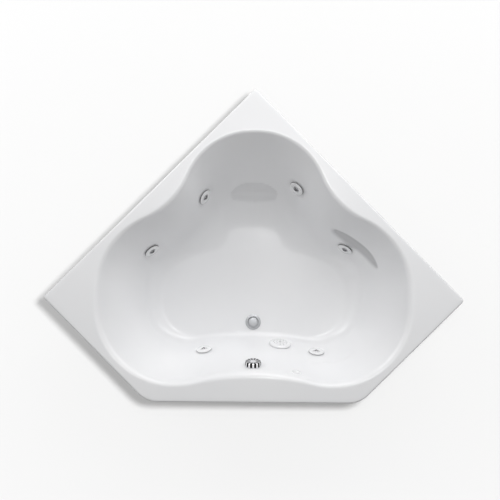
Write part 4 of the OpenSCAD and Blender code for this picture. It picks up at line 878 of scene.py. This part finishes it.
def makeHoses():
    # the way points are those of part.scad
    water, air = pipes["water"], pipes["air"]
    into, leadIn, leadOut = (tee["half"] + more for more in (-tee["overlap"], tee["leadIn"], tee["leadOut"]))
    toTee = leave(jets[0], -1, water) + [behind(-42, 270, water["off"]), teeAt - [0, leadIn, 0], teeAt - [0, into, 0]]
    fromTee = [teeAt + [0, into, 0], teeAt + [0, leadOut, 0], behind(2, 275, water["off"])]
    fromTee += leave(jets[1], 1, water)[::-1]
    lay("waterHoses", "water_hoses", "clearHose", water, [toTee, fromTee] + [hop(i, water) for i in (1, 2, 3, 4)])

    # over the pump from the first jet to the second, and from the last jet to the silencer
    over = [behind(bearing, z, off) + [0, 0, 5] for bearing, z, off in ((-40, 340, 66), (-18, 380, 62), (0, 340, 66))]
    link = leave(jets[0], -1, air) + over + leave(jets[1], 1, air)[::-1]
    silencer = local(jets[5], (0, -150, -60)) + [0, 0, 90]
    tail = leave(jets[5], -1, air) + [silencer - [70, 0, 0], silencer]
    lay("airHoses", "air_hoses", "blackHose", air, [hop(i, air) for i in (1, 2, 3, 4)] + [link, tail])

    # from the suction fitting down and along the floor to the pump's inlet
    a, b = local(suctionAt, (0, 0, -26)), local(suctionAt, (0, 0, -100))
    inlet = [[pump["x"], inletY + ahead, pump["z"]] for ahead in (-60, -30, 14)]
    lay("suctionPipe", "suction_pipe", "pipePlastic", pipes["suction"],
        [[a, b, [b[0] + 130, b[1] - 8, 108], [520, -566, 118], *inlet]])

    # from the button along the front and the right rail to the air switch on the terminal box
    a, b = local(buttonAt, (0, 0, -36)), local(buttonAt, (0, 0, -58))
    frontRun, level, rail = frontY + 36, 430, sideX - sideY - 34
    boxTop, switchX, switchY = pump["z"] + pump["motorR"] - 3 + 42, pump["x"] + 28, -190
    lay("buttonTube", "button_tube", "clearHose", pipes["button"],
        [[a, b, [b[0] + 30, frontRun, level], [rail + frontY + 26, frontRun, level], [rail - 372, -372, level],
          [switchX + 30, -300, 400], [switchX, switchY, 350], [switchX, switchY, boxTop + 6]]])

    # from the knob down beside the overflow pipe and in under the floor
    _, riserY, riserZ = local(overflowAt, (0, 0, -30))
    near, beside, low, drainY = 40, 64, 34, drainAt[1]
    lay("liftCable", "lift_cable", "blackHose", pipes["lift"],
        [[[near, riserY, riserZ], [beside, riserY, riserZ], [beside, riserY, low], [beside, drainY, low],
          [near, drainY, low]]])


makeHoses()
print("hoses and pipes made")


# Pieces whose CAD shape is right: merged copies with softened edges
def dressed(node, finish, soften, sharp=32):
    # doubles within 2 micrometres are merged; a softened edge is a bevel that many millimetres wide
    mesh = nodes[node].data.copy()
    mesh.name = name = "".join(w if i == 0 else w.capitalize() for i, w in enumerate(node.split("_")))
    work = bmesh.new()
    work.from_mesh(mesh)
    bmesh.ops.remove_doubles(work, verts=work.verts, dist=2e-6)
    if soften:
        bmesh.ops.dissolve_limit(work, angle_limit=math.radians(1), verts=work.verts, edges=work.edges)
    work.to_mesh(mesh)
    work.free()
    mesh.materials.clear()
    mesh.materials.append(finishes[finish])
    piece = placePiece(name, mesh, node, sharp)
    if soften:
        bevel = piece.modifiers.new("softEdge", "BEVEL")
        bevel.width, bevel.segments, bevel.limit_method = soften * toMetres, 2, "ANGLE"
        bevel.angle_limit, bevel.use_clamp_overlap = math.radians(sharp), True
        bevel.harden_normals = True


# finish, width of the softened edge in millimetres, and the nodes
plainNodes = [
    ("plywood", 0.8, "bottom_board"), ("softwood", 1.2, "support_rails deck_battens"),
    ("rubber", 0, "foot_pads wall_gaskets stopper_seal"), ("zincPlate", 0, "foot_studs pump_shaft"),
    ("zincPlate", 0.4, "foot_nuts"), ("turnedSteel", 0, "knob_spindle stopper_stem suction_screw"),
    ("chrome", 0, "overflow_collar"), ("drainChrome", 0, "drain_flange stopper_cap"),
    ("pipePlastic", 0, "drain_shoe waste_pipe waste_tee waste_outlet overflow_pipe overflow_elbow manifold_tee "
     "discharge_pipe"), ("pipePlastic", 0.6, "slip_nuts"),
    ("glossPlastic", 0, "jet_fittings suction_cover suction_fitting button_bezel button_cap"),
    ("greyPlastic", 0, "jet_nuts jet_bodies suction_nut impeller"), ("greyPlastic", 0.6, "union_nuts"),
    ("blackPlastic", 0, "air_silencer pump_volute fan_cover cord_gland"),
    ("blackPlastic", 0.8, "pump_base terminal_box"), ("motorPaint", 0, "motor_housing"),
]
for number, spot in enumerate(jets, 1):
    nozzleFinish(number, spot)
    plainNodes.append((f"nozzlePlastic_{number}", 0, f"jet_nozzle_{number}"))
for finish, edge, group in plainNodes:
    for node in group.split():
        dressed(node, finish, edge)
print("plain pieces dressed:", sum(len(group.split()) for _, _, group in plainNodes))


# Floor, light and camera, in metres
# floorTone is what the camera sees under the floor lamp, surround what it sees far off, and fill the light from there
studio = {"floorSize": 60.0, "floorGrey": 0.14, "floorTone": 0.835, "surround": 0.95, "fill": 0.26, "aimHeight": 0.3}
# each lamp's name, place, width and power
lamps = [
    ("over", (0.19, 0.38, 3.9), 0.4, 18),
    ("backLeft", (-3.2, 3.0, 3.0), 2.2, 68),
    ("backRight", (3.2, 3.2, 2.4), 2.2, 56),
    ("back", (0.6, 3.2, 3.2), 2.4, 68),
]
# a lamp for the floor alone, placed so that the bath's shadow shows past its left and front edges
floorLamp = {"place": (0.29, 0.18, 4.2), "radius": 0.15, "power": 2700}
view = {"place": (-0.0193, -0.0181, 4.208), "roll": 0.00878, "lens": 57.99, "sensor": 36.0}


def paperFinish():
    # Plain paper of one pale tone. The floor lamp gives it grey * power / (2 pi h)^2 * near at r from its foot, where
    # h is the lamp's height and near = (1 + r^2 / h^2)^-1.5. Its glow makes up what that lamp and the others lose
    # with distance: glow = surround - near * (surround - floor tone + the lamp's share at its foot).
    paper = Finish("paper")
    paper.tree.nodes.remove(paper.shader)
    height = floorLamp["place"][2]
    x, y = (paper.part(axis) - floorLamp["place"][axis] for axis in (0, 1))
    share = studio["floorGrey"] * floorLamp["power"] / (2 * math.pi * height) ** 2
    near = ((x * x + y * y) * height ** -2 + 1).join("POWER", -1.5)
    tone = studio["surround"] - near * (studio["surround"] - studio["floorTone"] + share)
    glow = paper.node("Emission", {}, {"Color": tone, "Strength": paper.cameraSees()})
    diffuse = paper.node("BsdfDiffuse", {}, {"Color": (studio["floorGrey"],) * 3})
    paper.plug(paper.tree.nodes["Material Output"].inputs["Surface"],
               paper.node("AddShader", {}, {0: diffuse, 1: glow}))
    return paper.material


def makeFloor():
    size = studio["floorSize"]
    mesh = bpy.data.meshes.new("studioFloor")
    mesh.from_pydata([(-size, -size, 0), (size, -size, 0), (size, size, 0), (-size, size, 0)], [], [(0, 1, 2, 3)])
    mesh.materials.append(paperFinish())
    floor = added("studioFloor", mesh)
    return floor


def makeSurround():
    world = bpy.data.worlds.new("studio")
    world.use_nodes = True
    bpy.context.scene.world = world
    sky = Graph(world.node_tree)
    background = sky.tree.nodes["Background"]
    sky.plug(background.inputs["Color"], (1, 1, 1))
    sky.plug(background.inputs["Strength"], sky.node("MapRange", {}, {
        "Value": sky.cameraSees(), "To Min": studio["fill"], "To Max": studio["surround"]}))


def hung(name, kind, place, power):
    lamp = bpy.data.lights.new(name, kind)
    lamp.energy = power
    holder = added(name, lamp)
    holder.location = place
    holder.visible_camera = False
    return lamp, holder


def makeLamps(floor):
    # each soft lamp looks at a point over the bath's middle
    for name, (x, y, z), width, power in lamps:
        lamp, holder = hung(name + "Light", "AREA", (x, y, z), power)
        lamp.shape, lamp.size = "DISK", width
        holder.rotation_euler = (math.atan2(math.hypot(x, y), z - studio["aimHeight"]), 0, math.atan2(x, -y))
    lamp, holder = hung("floorLight", "POINT", floorLamp["place"], floorLamp["power"])
    lamp.shadow_soft_size = floorLamp["radius"]
    lit = bpy.data.collections.new("floorLight")
    lit.objects.link(floor)
    holder.light_linking.receiver_collection = lit


def makeCamera():
    camera = added("photoCamera", bpy.data.cameras.new("photoCamera"))
    camera.data.lens, camera.data.sensor_width = view["lens"], view["sensor"]
    camera.location = view["place"]
    camera.rotation_euler = (0, 0, view["roll"])
    bpy.context.scene.camera = camera
    bpy.context.scene.view_settings.view_transform = "Standard"


makeLamps(makeFloor())
makeSurround()
makeCamera()
print("studio set")
